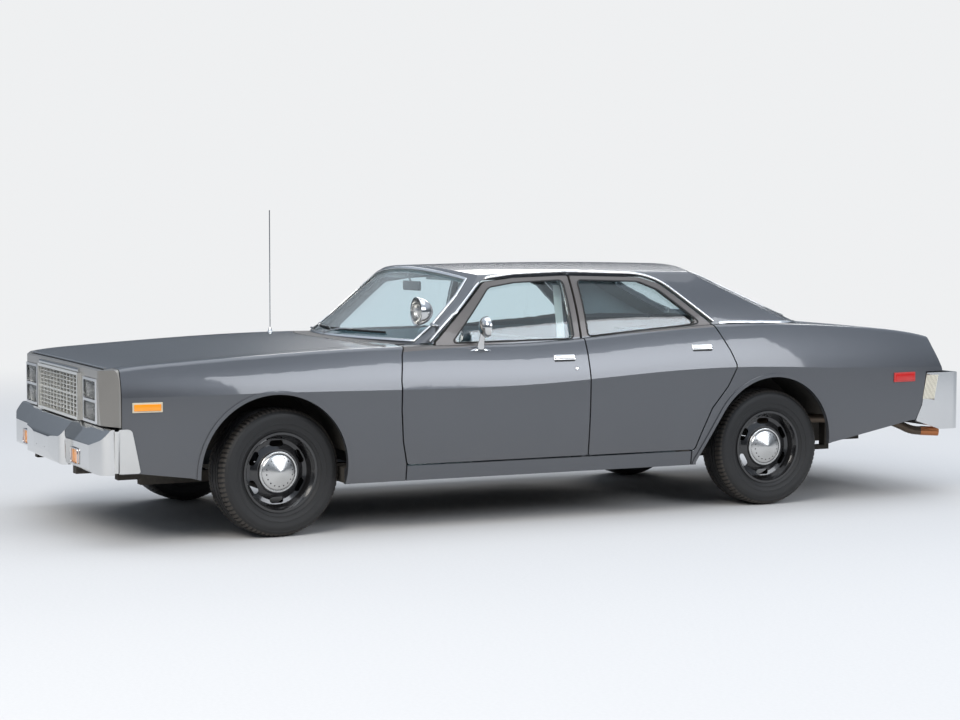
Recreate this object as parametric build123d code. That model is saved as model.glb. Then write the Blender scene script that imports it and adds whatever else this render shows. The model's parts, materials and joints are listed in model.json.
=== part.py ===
from build123d import *
import math
import os

# Four-door saloon car as separate panels, glass, seats and running gear.
# Millimetres, +Z up, ground at z = 0, nose towards -Y, the car's left side at +X.

# Overall layout
front_axle_y = -1690
rear_axle_y = 1295
nose_y = -2715
tail_y = 2715

# Body side sections, front to rear
# station y, sill half width, crease z, crease half width, crest z, crest half width, crown z
body_rows = (
    (-2660, 905, 748, 936, 866, 900, 868),
    (-2300, 925, 754, 964, 915, 912, 912),
    (-1740, 935, 757, 985, 948, 918, 950),
    (-1050, 938, 750, 989, 970, 918, 990),
    (-200, 938, 757, 989, 974, 914, 994),
    (600, 938, 803, 989, 1032, 907, 1046),
    (1150, 940, 810, 990, 1051, 903, 1062),
    (1800, 930, 785, 978, 1024, 895, 1032),
    (2300, 908, 775, 948, 975, 872, 984),
    (2540, 888, 762, 915, 915, 850, 922),
)
body_floor_z = 240
lower_bulge = 12
upper_bulge = 9
crest_radius = 30
panel_wall = 26

# Greenhouse sections, front to rear
# station y, base half width, rail half width, rail z, crown z
roof_rows = (
    (-1300, 880, 690, 1324, 1372),
    (-400, 884, 694, 1341, 1386),
    (300, 884, 698, 1352, 1394),
    (1000, 880, 690, 1342, 1384),
    (2200, 850, 650, 1314, 1352),
)
roof_base_z = 930
tumble_bulge = 26
rail_radius = 30
rail_hole_x = 650
roof_wall = 34

# Windscreen and backlight surfaces, each a drum whose centreline passes two points
screen_foot = (-1085, 978)
screen_head = (-585, 1378)
screen_radius = 2400
backlight_head = (1010, 1384)
backlight_foot = (1830, 1046)
backlight_radius = 2600
glass_wall = 6
glass_gap = 0.3
glass_inset = 8

# Side outline of the lower body
nose_top_y = -2606
nose_foot_y = -2590
nose_face_half = 765
nose_shoulder_y = -2541
fender_foot_z = 372
sill_foot_z = 265
tail_top_y = 2385
tail_bend_y = 2500
tail_bend_z = 755
tail_foot_z = 470
sill_top_z = 345
door_foot_z = 353

# Wheel openings
arch_radius = 395
arch_z = 353
front_arch_y = -1735
rear_arch_y = 1268
rear_arch_lead_y = 767
arch_lip_width = 20
arch_lip_stand = 7
wheelhouse_radius = 432
front_house_x = 515
rear_house_x = 580
wheelhouse_wall = 8

# Shut lines
shut_gap = 8
frame_gap = 14
frame_wall = 22
door_skin = 20
door_inner_x = 806
latch_setback = 42
hinge_setback = 62
b_line_y = 75

# Hood and boot lid
hood_half = 775
hood_front_y = -2575
hood_rear_y = -1175
hood_side_y = -995
lid_half = 770
lid_front_y = 1880
lid_rear_y = 2452
lid_lip_z = 800
lid_under_front = (lid_front_y - 50, 996)
lid_under_rear = (tail_top_y - 60, 946)
gutter_half = 700

# Wheels and tyres
tyre_radius = 335
tyre_width = 222
tyre_bead_radius = 196
track_half = 786
rim_lip_radius = 208
rim_half_width = 92
hub_face_x = 26
cap_radius = 109
king_x = 750
steer_rest = 5

# Bumpers
bumper_front_z0 = 372
bumper_front_z1 = 598
bumper_rear_z0 = 396
bumper_rear_z1 = 737
bumper_half = 950
bumper_wall = 16
bumper_end_y = -2668
bumper_back_y = -2572
guard_half = 372
filler_stand = 12
plate_flat_half = 160
plate_bolt_pitch = 178
plate_bolt_radius = 3.5
front_plate_z = 440
rear_plate_z = 530

# Nose and tail fittings
nose_panel_y = -2537
grille_face_y = -2625
grille_half = 430
grille_z0 = 606
grille_z1 = 850
grille_rim = 14
grille_columns = 12
grille_lines = 10
grille_group_x = 4
grille_group_z = 5
grille_broad = 11
grille_fine = 5
lamp_x0 = 500
lamp_x1 = 752
lamp_z0 = 610
lamp_z1 = 838
lamp_face_y = -2613
radiator_half = 340
radiator_z0 = 400
radiator_z1 = 800
support_foot_z = 372
turn_x0 = 470
turn_x1 = 600
turn_z0 = 398
turn_z1 = 472
tail_panel_y = 2440
tail_lamp_x0 = 420
tail_lamp_x1 = 800
tail_lamp_z0 = 745
tail_lamp_z1 = 785

# Inner body
waist_half = 860
waist_z = 940
deck_front_y = 1500
post_inset = 36
b_post_top_x = 625
pillar_foot_z = 981
b_post_y0 = 52
b_post_y1 = 125
strap_heights = (500, 740)
firewall_y = -1120
floor_z = 330
boot_floor_z = 520
wheel_slots = 6
wheel_slot_long = 78
wheel_slot_wide = 32
hub_in_x = -38
spindle_radius = 18
cowl_half = 798
hinge_post_y = -990
front_door_y = -1042
tunnel_half = 134
tunnel_high = 95
rail_x0 = 390
rail_x1 = 450
gearbox_end_y = -420
column_lean = 62
wheel_centre = (380, -560, 865)
mirror_y = -560
front_seat_half = 690
rear_seat_half = 574

parts = {}


def cornered(rows):
    # rows of u, v, corner radius
    face = make_face(Polyline(*[(u, v) for u, v, r in rows], close=True))
    for u, v, r in rows:
        if r:
            face = fillet(face.vertices().sort_by_distance((u, v))[0], r)
    return face


def side_prism(rows, x0, x1):
    return extrude(Plane.YZ.offset(x0) * cornered(rows), x1 - x0)


def plan_prism(rows, z0, z1):
    return extrude(Plane.XY.offset(z0) * cornered(rows), z1 - z0)


def block(x0, x1, y0, y1, z0, z1):
    return Pos((x0 + x1) / 2, (y0 + y1) / 2, (z0 + z1) / 2) * Box(x1 - x0, y1 - y0, z1 - z0)


def rod_x(x0, x1, y, z, radius):
    return Pos((x0 + x1) / 2, y, z) * Rot(0, 90, 0) * Cylinder(radius, x1 - x0)


def rod_z(x, y, z0, z1, radius):
    return Pos(x, y, (z0 + z1) / 2) * Cylinder(radius, z1 - z0)


def rod_y(x, y0, y1, z, radius):
    return Pos(x, (y0 + y1) / 2, z) * Rot(90, 0, 0) * Cylinder(radius, y1 - y0)


def twin(shape):
    return [shape, mirror(shape, about=Plane.YZ)]


def keep(name, shape):
    solids = []
    for item in shape if isinstance(shape, (list, tuple)) else [shape]:
        solids += item.solids()
    parts[name] = solids[0] if len(solids) == 1 else Compound(solids)


# Body master forms
def body_section(row, inset):
    y, sill_x, crease_z, crease_x, crest_z, crest_x, crown_z = row
    floor_z = body_floor_z - (60 if inset else 0)
    sill_x -= inset
    crease_x -= inset
    crest_x -= inset
    crest_z -= inset
    crown_z -= inset
    low = ((sill_x + crease_x) / 2 + lower_bulge, (floor_z + crease_z) / 2)
    high = ((crease_x + crest_x) / 2 + upper_bulge, (crease_z + crest_z) / 2)
    edges = Curve() + [
        Line((-sill_x, floor_z), (sill_x, floor_z)),
        ThreePointArc((sill_x, floor_z), low, (crease_x, crease_z)),
        ThreePointArc((crease_x, crease_z), high, (crest_x, crest_z)),
        ThreePointArc((crest_x, crest_z), (0, crown_z), (-crest_x, crest_z)),
        ThreePointArc((-crest_x, crest_z), (-high[0], high[1]), (-crease_x, crease_z)),
        ThreePointArc((-crease_x, crease_z), (-low[0], low[1]), (-sill_x, floor_z)),
    ]
    face = make_face(edges)
    for side in (1, -1):
        corner = face.vertices().sort_by_distance((side * crest_x, crest_z))[0]
        face = fillet(corner, max(crest_radius - inset, 8))
    return Plane.XZ.offset(-y) * face


def body_form(inset=0):
    return loft([body_section(row, inset) for row in body_rows])


def roof_section(row, inset):
    y, base_x, rail_x, rail_z, crown_z = row
    base_z = roof_base_z - (60 if inset else 0)
    base_x -= inset
    rail_x -= inset
    rail_z -= inset
    crown_z -= inset
    swell = ((base_x + rail_x) / 2 + tumble_bulge, (base_z + rail_z) / 2)
    edges = Curve() + [
        Line((-base_x, base_z), (base_x, base_z)),
        ThreePointArc((base_x, base_z), swell, (rail_x, rail_z)),
        ThreePointArc((rail_x, rail_z), (0, crown_z), (-rail_x, rail_z)),
        ThreePointArc((-rail_x, rail_z), (-swell[0], swell[1]), (-base_x, base_z)),
    ]
    face = make_face(edges)
    for side in (1, -1):
        corner = face.vertices().sort_by_distance((side * rail_x, rail_z))[0]
        face = fillet(corner, max(rail_radius - inset, 12))
    return Plane.XZ.offset(-y) * face


def drum(foot, head, radius, inset):
    # a long drum lying along the slope from foot to head, its crown on that line
    run = math.dist(foot, head)
    slope = ((head[0] - foot[0]) / run, (head[1] - foot[1]) / run)
    normal = (-slope[1], slope[0]) if slope[0] > 0 else (slope[1], -slope[0])
    centre = [(a + b) / 2 - n * (radius + inset) for a, b, n in zip(foot, head, normal)]
    plane = Plane(origin=(0, *centre), z_dir=(0, *slope), x_dir=(1, 0, 0))
    return plane * Cylinder(radius, 6000)


def screen_drum(inset=0):
    return drum(screen_foot, screen_head, screen_radius, inset)


def backlight_drum(inset=0):
    return drum(backlight_foot, backlight_head, backlight_radius, inset)


def roof_tube(inset=0):
    return loft([roof_section(row, inset) for row in roof_rows])


body_out = body_form()
body_in = body_form(panel_wall)
door_in = body_form(door_skin)
drums = screen_drum() & backlight_drum()
roof_out = roof_tube() & drums
roof_in = roof_tube(roof_wall) & screen_drum(roof_wall) & backlight_drum(roof_wall)
frame_in = roof_tube(frame_wall)


# Wheel openings and shut lines as cutters
def front_arch(radius):
    return rod_x(-1100, 1100, front_arch_y, arch_z, radius)


def rear_arch(grow=0):
    radius = arch_radius + grow
    lead = rear_arch_lead_y - grow
    disc = rod_x(-1100, 1100, rear_arch_y, arch_z, radius)
    slant = math.radians(58)
    touch = (rear_arch_y - radius * math.sin(slant), arch_z + radius * math.cos(slant))
    wedge = side_prism(
        (
            (lead, 200, 0),
            (lead, 281, 60),
            (touch[0], touch[1], 0),
            (rear_arch_y, arch_z, 0),
            (rear_arch_y, 200, 0),
        ),
        -1100,
        1100,
    )
    return disc + wedge


# Side outline of everything below the waist
side_rows = (
    (nose_foot_y, fender_foot_z, 40),
    (-2440, fender_foot_z, 0),
    (-2180, 338, 0),
    (-1900, sill_foot_z, 0),
    (rear_arch_y, sill_foot_z, 0),
    (1610, 337, 0),
    (1810, 374, 0),
    (2254, 457, 0),
    (tail_bend_y, tail_foot_z, 0),
    (tail_bend_y, tail_bend_z, 40),
    (tail_top_y + 60, 890, 60),
    (tail_top_y, 1100, 0),
    (nose_top_y, 1100, 0),
    (nose_top_y, 850, 0),
)
nose_rows = (
    (-1000, 3000, 0),
    (-1000, nose_shoulder_y + 8, 0),
    (-930, nose_shoulder_y, 40),
    (-nose_face_half, nose_top_y, 70),
    (nose_face_half, nose_top_y, 70),
    (930, nose_shoulder_y, 40),
    (1000, nose_shoulder_y + 8, 0),
    (1000, 3000, 0),
)
side_cut = side_prism(side_rows, -1100, 1100) & plan_prism(nose_rows, 0, 1300)
skin = (body_out & side_cut) - body_in

# Front door outline: sheet metal, then window frame
front_low = (
    (-1003, door_foot_z, 20),
    (-1030, 480, 0),
    (-1042, 640, 0),
    (-1040, 800, 0),
    (-1020, 930, 0),
    (-985, 1010, 0),
    (-985, 1150, 0),
    (b_line_y - shut_gap / 2, 1150, 0),
    (b_line_y - shut_gap / 2, door_foot_z, 12),
)
rear_low = (
    (b_line_y + shut_gap / 2, door_foot_z, 12),
    (b_line_y + shut_gap / 2, 1150, 0),
    (852, 1150, 0),
    (980, 900, 60),
    (1012, 816, 45),
    (951, 706, 60),
    (852, 586, 0),
    (789, 447, 60),
    (752, door_foot_z, 25),
)
front_high = (
    (-800, 940, 0),
    (-800, 985, 20),
    (-450, 1300, 60),
    (-262, 1321, 120),
    (b_line_y - frame_gap / 2, 1331, 10),
    (b_line_y - frame_gap / 2, 940, 0),
)
rear_high = (
    (b_line_y + frame_gap / 2, 940, 0),
    (b_line_y + frame_gap / 2, 1330, 10),
    (520, 1318, 150),
    (640, 1280, 60),
    (925, 1050, 30),
    (880, 940, 0),
)
front_window = (
    (-700, 984, 14),
    (-430, 1268, 50),
    (-270, 1292, 60),
    (b_line_y - 48, 1304, 14),
    (b_line_y - 48, 992, 14),
)
rear_window_rows = (
    (b_line_y + 48, 1002, 14),
    (b_line_y + 48, 1303, 14),
    (505, 1291, 100),
    (620, 1245, 40),
    (846, 1062, 20),
    (800, 1054, 0),
)


def grown(rows, distance, x0, x1):
    face = offset(cornered(rows), distance, kind=Kind.INTERSECTION)
    return extrude(Plane.YZ.offset(x0) * face, x1 - x0)


def door(low, high, window, hinge_y):
    # a skin with a flange all round, a deep core set back from it, and a window frame
    shell = (body_out & side_prism(low, door_inner_x, 1100)) - door_in - frame_in
    core = body_out & grown(low, -latch_setback, door_inner_x, 1100)
    core -= block(0, 1100, -2000, hinge_y + hinge_setback, 0, 1200)
    frame = ((roof_tube() - frame_in) & side_prism(high, 600, 1100)) - side_prism(window, 0, 1100)
    return shell + core + frame


def pane(window):
    sheet = roof_tube(glass_inset) - roof_tube(glass_inset + glass_wall)
    return sheet & grown(window, -glass_gap, 600, 1000)


front_door = door(front_low, front_high, front_window, front_door_y)
rear_door = door(rear_low, rear_high, rear_window_rows, b_line_y)
for end, shape, window in (("front", front_door, front_window), ("rear", rear_door, rear_window_rows)):
    keep(f"door_{end}_left", shape)
    keep(f"door_{end}_right", mirror(shape, about=Plane.YZ))
    sheet = pane(window)
    keep(f"door_glass_{end}_left", sheet)
    keep(f"door_glass_{end}_right", mirror(sheet, about=Plane.YZ))

# Outlines of the side panels
fender_rows = (
    (nose_panel_y + 4, 200, 0),
    (nose_panel_y + 4, 1100, 0),
    (-993, 1100, 0),
    (-993, 1010, 0),
    (-1028, 930, 0),
    (-1048, 800, 0),
    (-1050, 640, 0),
    (-1038, 480, 0),
    (-1011, 353, 0),
    (-1011, 200, 0),
)
quarter_front_y = 742
bumper_notch = (
    (2366, bumper_rear_z1 + shut_gap, 0),
    (2337, 545, 0),
    (2292, 446, 0),
    (2292, 0, 0),
    (2900, 0, 0),
    (2900, bumper_rear_z1 + shut_gap, 0),
)


def hood_outline(grow):
    # straight at the nose and along the fenders, bowed forward along the windscreen
    half = hood_half + grow
    rim = Curve() + [
        Line((-half, hood_front_y - grow), (half, hood_front_y - grow)),
        Line((half, hood_front_y - grow), (half, hood_side_y + grow)),
        ThreePointArc((half, hood_side_y + grow), (0, hood_rear_y + grow), (-half, hood_side_y + grow)),
        Line((-half, hood_side_y + grow), (-half, hood_front_y - grow)),
    ]
    return extrude(Plane.XY.offset(500) * make_face(rim), 800)


lid_opening = block(-lid_half - shut_gap, lid_half + shut_gap, lid_front_y - shut_gap, 2700, 500, 1300)
hood_opening = hood_outline(shut_gap)
left_side = block(0, 1100, -3000, 3000, 0, 1300)
front_wheel_hole = front_arch(arch_radius)
rear_wheel_hole = rear_arch()


def arch_lip(cutter_in, cutter_out, region):
    # a rolled edge that stands a little proud of the panel around the wheel opening
    proud = scale(body_out, (1 + arch_lip_stand / 985, 1, 1)) - body_in
    return proud & (cutter_out - cutter_in) & region & side_cut


fender = skin & side_prism(fender_rows, 0, 1100) & left_side
fender += arch_lip(
    front_wheel_hole, front_arch(arch_radius + arch_lip_width), block(600, 1100, -2400, -1080, 266, 900)
)
fender -= front_wheel_hole
fender -= hood_opening
fender -= block(0, hood_half + shut_gap, -1300, -900, 500, 1300)
keep("front_fenders", twin(fender))

quarter = skin & block(0, 1100, quarter_front_y, 2600, 200, 1200)
quarter_lip_zone = block(600, 1100, quarter_front_y, 3000, 266, 900)
quarter += arch_lip(rear_wheel_hole, rear_arch(arch_lip_width), quarter_lip_zone)
quarter -= rear_wheel_hole
quarter -= grown(rear_low, shut_gap, 0, 1100)
quarter -= lid_opening
quarter -= block(-1100, waist_half, -1150, lid_front_y, 700, 1300)
quarter -= side_prism(bumper_notch, 0, 1100)
keep("quarter_panels", twin(quarter & left_side & block(0, 1100, 0, tail_panel_y, 0, 1300)))

# Roof with its pillars, header and sail panels
roof_shell = roof_out - roof_in
for rows in (front_high, rear_high):
    hole = grown(rows, frame_gap, rail_hole_x, 1100)
    roof_shell -= hole
    roof_shell -= mirror(hole, about=Plane.YZ)


def slope_plane(foot, head):
    run = math.dist(foot, head)
    slope = ((head[0] - foot[0]) / run, (head[1] - foot[1]) / run)
    normal = (-slope[1], slope[0]) if slope[0] > 0 else (slope[1], -slope[0])
    side = 1 if slope[0] > 0 else -1
    return Plane(origin=(0, *foot), x_dir=(side, 0, 0), z_dir=(0, *normal))


def light_prism(plane, row, grow):
    # a window opening seen square to its slope: bowed foot, straight sides, rounded head corners
    foot_half, foot_side, foot_mid, head_half, head, head_mid, corner = row
    rim = Curve() + [
        ThreePointArc((-foot_half, foot_side), (0, foot_mid), (foot_half, foot_side)),
        Line((foot_half, foot_side), (head_half, head)),
        ThreePointArc((head_half, head), (0, head_mid), (-head_half, head)),
        Line((-head_half, head), (-foot_half, foot_side)),
    ]
    face = make_face(rim)
    for side in (1, -1):
        face = fillet(face.vertices().sort_by_distance((side * head_half, head))[0], corner)
        face = fillet(face.vertices().sort_by_distance((side * foot_half, foot_side))[0], 30)
    face = offset(face, grow, kind=Kind.INTERSECTION) if grow else face
    return extrude(plane * face, 400, both=True)


# half width, height at the sides and at the middle of the foot, the same of the head, corner radius
screen_row = (772, 185, 30, 668, 644, 612, 45)
backlight_row = (655, 300, 95, 575, 790, 798, 90)
screen_plane = slope_plane(screen_foot, screen_head)
backlight_plane = slope_plane(backlight_foot, backlight_head)
windscreen = (screen_drum(glass_inset) - screen_drum(glass_inset + glass_wall)) & roof_tube(3)
windscreen &= light_prism(screen_plane, screen_row, -glass_gap)
backlight = (backlight_drum(glass_inset) - backlight_drum(glass_inset + glass_wall)) & roof_tube(3)
backlight &= light_prism(backlight_plane, backlight_row, -glass_gap)
roof_shell -= light_prism(screen_plane, screen_row, 0)
roof_shell -= light_prism(backlight_plane, backlight_row, 0)
roof_shell -= body_out
# the belt of an opening front door passes under the foot of the windscreen pillar
for piece in twin(block(800, 900, -900, -790, 900, pillar_foot_z)):
    roof_shell -= piece
b_post_upper = (roof_tube(post_inset - 6) - roof_tube(post_inset + 26)) & block(
    b_post_top_x, 1100, b_post_y0 - 8, b_post_y1 - 18, waist_z, 1342
)
b_post_upper -= roof_shell
keep("windscreen", windscreen)
keep("rear_window", backlight)

# Hood and boot lid
hood = (body_out - body_in) & hood_outline(0)
keep("hood", hood)
lid = body_out & side_cut & block(-lid_half, lid_half, lid_front_y, lid_rear_y + 200, lid_lip_z, 1300)
lid -= side_prism(
    (
        (lid_under_front[0], 500, 0),
        (lid_rear_y - 30, 500, 0),
        (lid_rear_y - 30, lid_lip_z + 40, 0),
        (tail_top_y - 20, 930, 0),
        (*lid_under_rear, 0),
        (*lid_under_front, 0),
    ),
    -1000,
    1000,
)
keep("boot_lid", lid)

# Posts, firewall, cowl and the deck behind the backlight
inside = body_form(panel_wall + 0.3)
post_in = body_form(post_inset)
cowl = (body_out - body_in) & block(-cowl_half, cowl_half, -1300, -860, 700, 1300)
cowl -= hood_outline(shut_gap)
cowl -= screen_drum(60) & block(-1000, 1000, -1200, -600, 900, 1500)
cowl -= roof_out
for side in (1, -1):
    reach = hood_half + shut_gap
    cowl -= block(min(side * reach, side * 1100), max(side * reach, side * 1100), -1300, -900, 500, 1300)
firewall = inside & block(-850, 850, firewall_y - 10, firewall_y, floor_z, 1300)
for piece in twin(block(789.7, 900, firewall_y - 20, firewall_y + 10, 0, sill_top_z + 0.3)):
    firewall -= piece
firewall -= block(
    -tunnel_half, tunnel_half, firewall_y - 20, firewall_y + 10, floor_z - 20, floor_z + tunnel_high
)
hinge_post = post_in & block(800, 1000, firewall_y, hinge_post_y, sill_top_z, waist_z)
strap_end_y = front_door_y + hinge_setback - 0.3
for z in strap_heights:
    # hinge straps that the front door hangs on
    hinge_post += block(850, 900, hinge_post_y - 2, strap_end_y, z, z + 60)
keep("firewall_and_cowl", [firewall + cowl + hinge_post + mirror(hinge_post, about=Plane.YZ)])
b_post = post_in & block(800, 1000, b_post_y0, b_post_y1, sill_top_z, waist_z - 18)
b_post += b_post_upper & block(0, 1100, b_post_y0, b_post_y1, waist_z - 30, 1400)
b_post += roof_tube(post_inset - 6) & block(800, 1000, b_post_y0, b_post_y1, waist_z - 30, waist_z + 20)
for z in strap_heights:
    # hinge straps that the rear door hangs on
    b_post += block(850, 900, b_post_y1 - 2, b_line_y + hinge_setback - 0.3, z, z + 60)
keep("roof_and_pillars", roof_shell + b_post + mirror(b_post, about=Plane.YZ))
deck = (body_out - body_in) & block(
    -waist_half + 0.3, waist_half - 0.3, deck_front_y, lid_front_y - shut_gap, 900, 1300
)
deck -= backlight_drum(60) & block(-1000, 1000, 1000, 2400, 900, 1500)
deck -= roof_out
gutter_slope = (lid_under_rear[1] - lid_under_front[1]) / (lid_under_rear[0] - lid_under_front[0])
gutter_rows = (
    (lid_front_y - 34, lid_under_front[1] + 12, 0),
    (lid_front_y - shut_gap, lid_under_front[1] + 12, 0),
    (lid_front_y - shut_gap, lid_under_front[1] + gutter_slope * 42 - 0.3, 0),
    (lid_front_y + 30, lid_under_front[1] + gutter_slope * 80 - 0.3, 0),
    (lid_front_y + 30, lid_under_front[1] - 25, 0),
    (lid_front_y - 34, lid_under_front[1] - 25, 0),
)
deck += side_prism(gutter_rows, -gutter_half, gutter_half)
keep("rear_deck", deck)

# Nose: header panel, grille, lamps
nose = body_out & side_cut & block(-1000, 1000, -2700, nose_panel_y, grille_z0, 1000)
nose -= hood_outline(shut_gap)
lamp_hole = block(lamp_x0, lamp_x1, -2700, -2500, lamp_z0, lamp_z1)
for piece in twin(lamp_hole):
    nose -= piece
nose -= block(-grille_half, grille_half, -2700, -2500, grille_z0 - 1, grille_z1)
keep("nose_panel", nose)

frame_bar = block(-grille_half, grille_half, grille_face_y, nose_panel_y - 10, grille_z0, grille_z1)
grille_in = grille_half - grille_rim
grille_low = grille_z0 + grille_rim
grille_top = grille_z1 - grille_rim
grille = frame_bar - block(-grille_in, grille_in, -2800, -2500, grille_low, grille_top)
bar_y0 = grille_face_y + 18
bar_y1 = grille_face_y + 42
bay_x = grille_in * 2
bay_z = grille_top - grille_low
for index in range(1, grille_columns):
    x = -grille_in + bay_x * index / grille_columns
    wide = grille_broad if index % grille_group_x == 0 else grille_fine
    grille += block(x - wide / 2, x + wide / 2, bar_y0, bar_y1, grille_z0 + 2, grille_z1 - 2)
for index in range(1, grille_lines):
    z = grille_low + bay_z * index / grille_lines
    high = grille_broad if index % grille_group_z == 0 else grille_fine
    grille += block(-grille_half + 2, grille_half - 2, bar_y0 - 2, bar_y1, z - high / 2, z + high / 2)
keep("grille", grille)

lamp_mid = (lamp_z0 + lamp_z1) / 2
bezel = block(lamp_x0 + 0.3, lamp_x1 - 0.3, lamp_face_y, nose_panel_y - 6, lamp_z0 + 0.3, lamp_z1 - 0.3)
for z0, z1 in ((lamp_z0 + 14, lamp_mid - 7), (lamp_mid + 7, lamp_z1 - 14)):
    hole = block(lamp_x0 + 14, lamp_x1 - 14, -2800, nose_panel_y - 30, z0, z1)
    bezel -= fillet(hole.edges().filter_by(Axis.Y), 10)
keep("headlamp_bezels", twin(bezel))
lenses = []
for z0, z1 in ((lamp_z0 + 14, lamp_mid - 7), (lamp_mid + 7, lamp_z1 - 14)):
    lens = block(lamp_x0 + 14.3, lamp_x1 - 14.3, lamp_face_y + 12, nose_panel_y - 30.3, z0 + 0.3, z1 - 0.3)
    lenses += twin(fillet(lens.edges().filter_by(Axis.Y), 9.7))
keep("headlamps", lenses)

support = inside & block(-860, 860, nose_panel_y, nose_panel_y + 15, support_foot_z, 850)
support -= block(-radiator_half, radiator_half, -2700, -2400, radiator_z0, radiator_z1)
core_y = nose_panel_y + 2
support += block(-radiator_half, radiator_half, core_y, core_y + 49, radiator_z0, radiator_z1)
keep("radiator_and_support", support)

# Tail panel and lamps
tail = body_out & side_cut & block(-1000, 1000, tail_panel_y + 0.3, 2600, bumper_rear_z1 + shut_gap, 1100)
tail -= block(-lid_half - shut_gap, lid_half + shut_gap, 2300, 2700, lid_lip_z - shut_gap, 1300)
tail -= block(-860, 860, 2300, tail_panel_y + 30, 470, 1300)
tail += block(-900, 900, tail_panel_y + 0.3, tail_panel_y + 16, 455, bumper_rear_z1 + shut_gap + 1)
tail_foot = bumper_rear_z1 + shut_gap
tail += block(-900, 900, tail_panel_y + 0.3, tail_panel_y + 40, tail_foot, lid_lip_z - shut_gap)
for piece in twin(block(tail_lamp_x0, tail_lamp_x1, 2440, 2600, tail_lamp_z0, tail_lamp_z1)):
    tail -= piece
keep("tail_panel", tail)
tail_lamp = block(tail_lamp_x0 + 0.3, tail_lamp_x1 - 0.3, 2471, 2506, tail_lamp_z0 + 0.3, tail_lamp_z1 - 0.3)
keep("tail_lamps", twin(tail_lamp))


# Bumpers: hollow pressings, open at the back
def bumper(rows, side_rows, wall, z0, z1):
    shell = side_prism(side_rows, -1100, 1100) & plan_prism(rows, z0, z1)
    plan_face = offset(cornered(rows), -wall, kind=Kind.INTERSECTION)
    side_face = offset(cornered(side_rows), -wall, kind=Kind.INTERSECTION)
    hollow = extrude(Plane.XY.offset(z0) * plan_face, z1 - z0)
    return shell, hollow & extrude(Plane.YZ.offset(-1100) * side_face, 2200)


def front_face(face_y):
    # an upright face below a shelf that slopes up to the grille
    return (
        (face_y + 8, bumper_front_z0, 24),
        (face_y, 420, 30),
        (face_y, 508, 30),
        (face_y + 78, bumper_front_z1, 14),
        (-2500, bumper_front_z1, 0),
        (-2500, bumper_front_z0, 0),
    )


# the ends are set back from the middle, which stands forward as one broad guard
end_plan = (
    (-bumper_half, -2500, 0),
    (-bumper_half, bumper_end_y + 40, 55),
    (-800, bumper_end_y + 5, 60),
    (0, bumper_end_y, 0),
    (800, bumper_end_y + 5, 60),
    (bumper_half, bumper_end_y + 40, 55),
    (bumper_half, -2500, 0),
)
guard_plan = (
    (-guard_half, -2500, 0),
    (-guard_half, nose_y + 10, 34),
    (-plate_flat_half, nose_y, 0),
    (plate_flat_half, nose_y, 0),
    (guard_half, nose_y + 10, 34),
    (guard_half, -2500, 0),
)
front_band = (bumper_wall, bumper_front_z0, bumper_front_z1)
ends_solid, ends_hollow = bumper(end_plan, front_face(bumper_end_y), *front_band)
guard_solid, guard_hollow = bumper(guard_plan, front_face(nose_y), *front_band)
front_shell = (ends_solid + guard_solid) - ends_hollow - guard_hollow
front_shell -= block(-1100, 1100, bumper_back_y, -2400, 300, 620)
for piece in twin(block(turn_x0, turn_x1, -2800, bumper_end_y + 30, turn_z0, turn_z1)):
    front_shell -= piece
for side in (1, -1):
    front_shell -= rod_y(side * plate_bolt_pitch / 2, -2800, -2650, front_plate_z, plate_bolt_radius)
keep("front_bumper", front_shell)
turn = block(turn_x0 + 0.3, turn_x1 - 0.3, bumper_end_y + 6, bumper_end_y + 40, turn_z0 + 0.3, turn_z1 - 0.3)
keep("turn_lamps", twin(turn))
filler_rows = (
    (bumper_back_y + 20, bumper_front_z1, 12),
    (-2487, bumper_front_z1, 25),
    (-2440, 376, 10),
    (bumper_back_y + 26, 376, 0),
)
outer_fit = scale(body_out, (1 + filler_stand / 985, 1, 1)) - scale(body_out, (1 + 0.3 / 985, 1, 1))
keep("bumper_fillers", twin(outer_fit & side_prism(filler_rows, 600, 1100)))
rear_half = bumper_half - 15
rear_plan = (
    (-rear_half, 2200, 0),
    (-rear_half, tail_y - 110, 60),
    (-760, tail_y - 12, 60),
    (-plate_flat_half, tail_y, 0),
    (plate_flat_half, tail_y, 0),
    (760, tail_y - 12, 60),
    (rear_half, tail_y - 110, 60),
    (rear_half, 2200, 0),
)
# the ends slope forward at the foot and the face leans in at the top
rear_face = (
    (2374, bumper_rear_z1, 14),
    (2345, 545, 0),
    (2300, 452, 12),
    (2480, bumper_rear_z0, 20),
    (tail_y - 12, bumper_rear_z0, 24),
    (tail_y, 470, 30),
    (tail_y, 570, 40),
    (tail_y - 42, bumper_rear_z1 - 14, 20),
    (2600, bumper_rear_z1, 20),
)
rear_solid, rear_hollow = bumper(rear_plan, rear_face, bumper_wall, bumper_rear_z0, bumper_rear_z1)
rear_shell = rear_solid - rear_hollow
rear_shell -= block(-rear_half + bumper_wall, rear_half - bumper_wall, 2200, 2560, 300, 800)
for side in (1, -1):
    rear_shell -= rod_y(side * plate_bolt_pitch / 2, 2640, 2800, rear_plate_z, plate_bolt_radius)
keep("rear_bumper", rear_shell)

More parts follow.
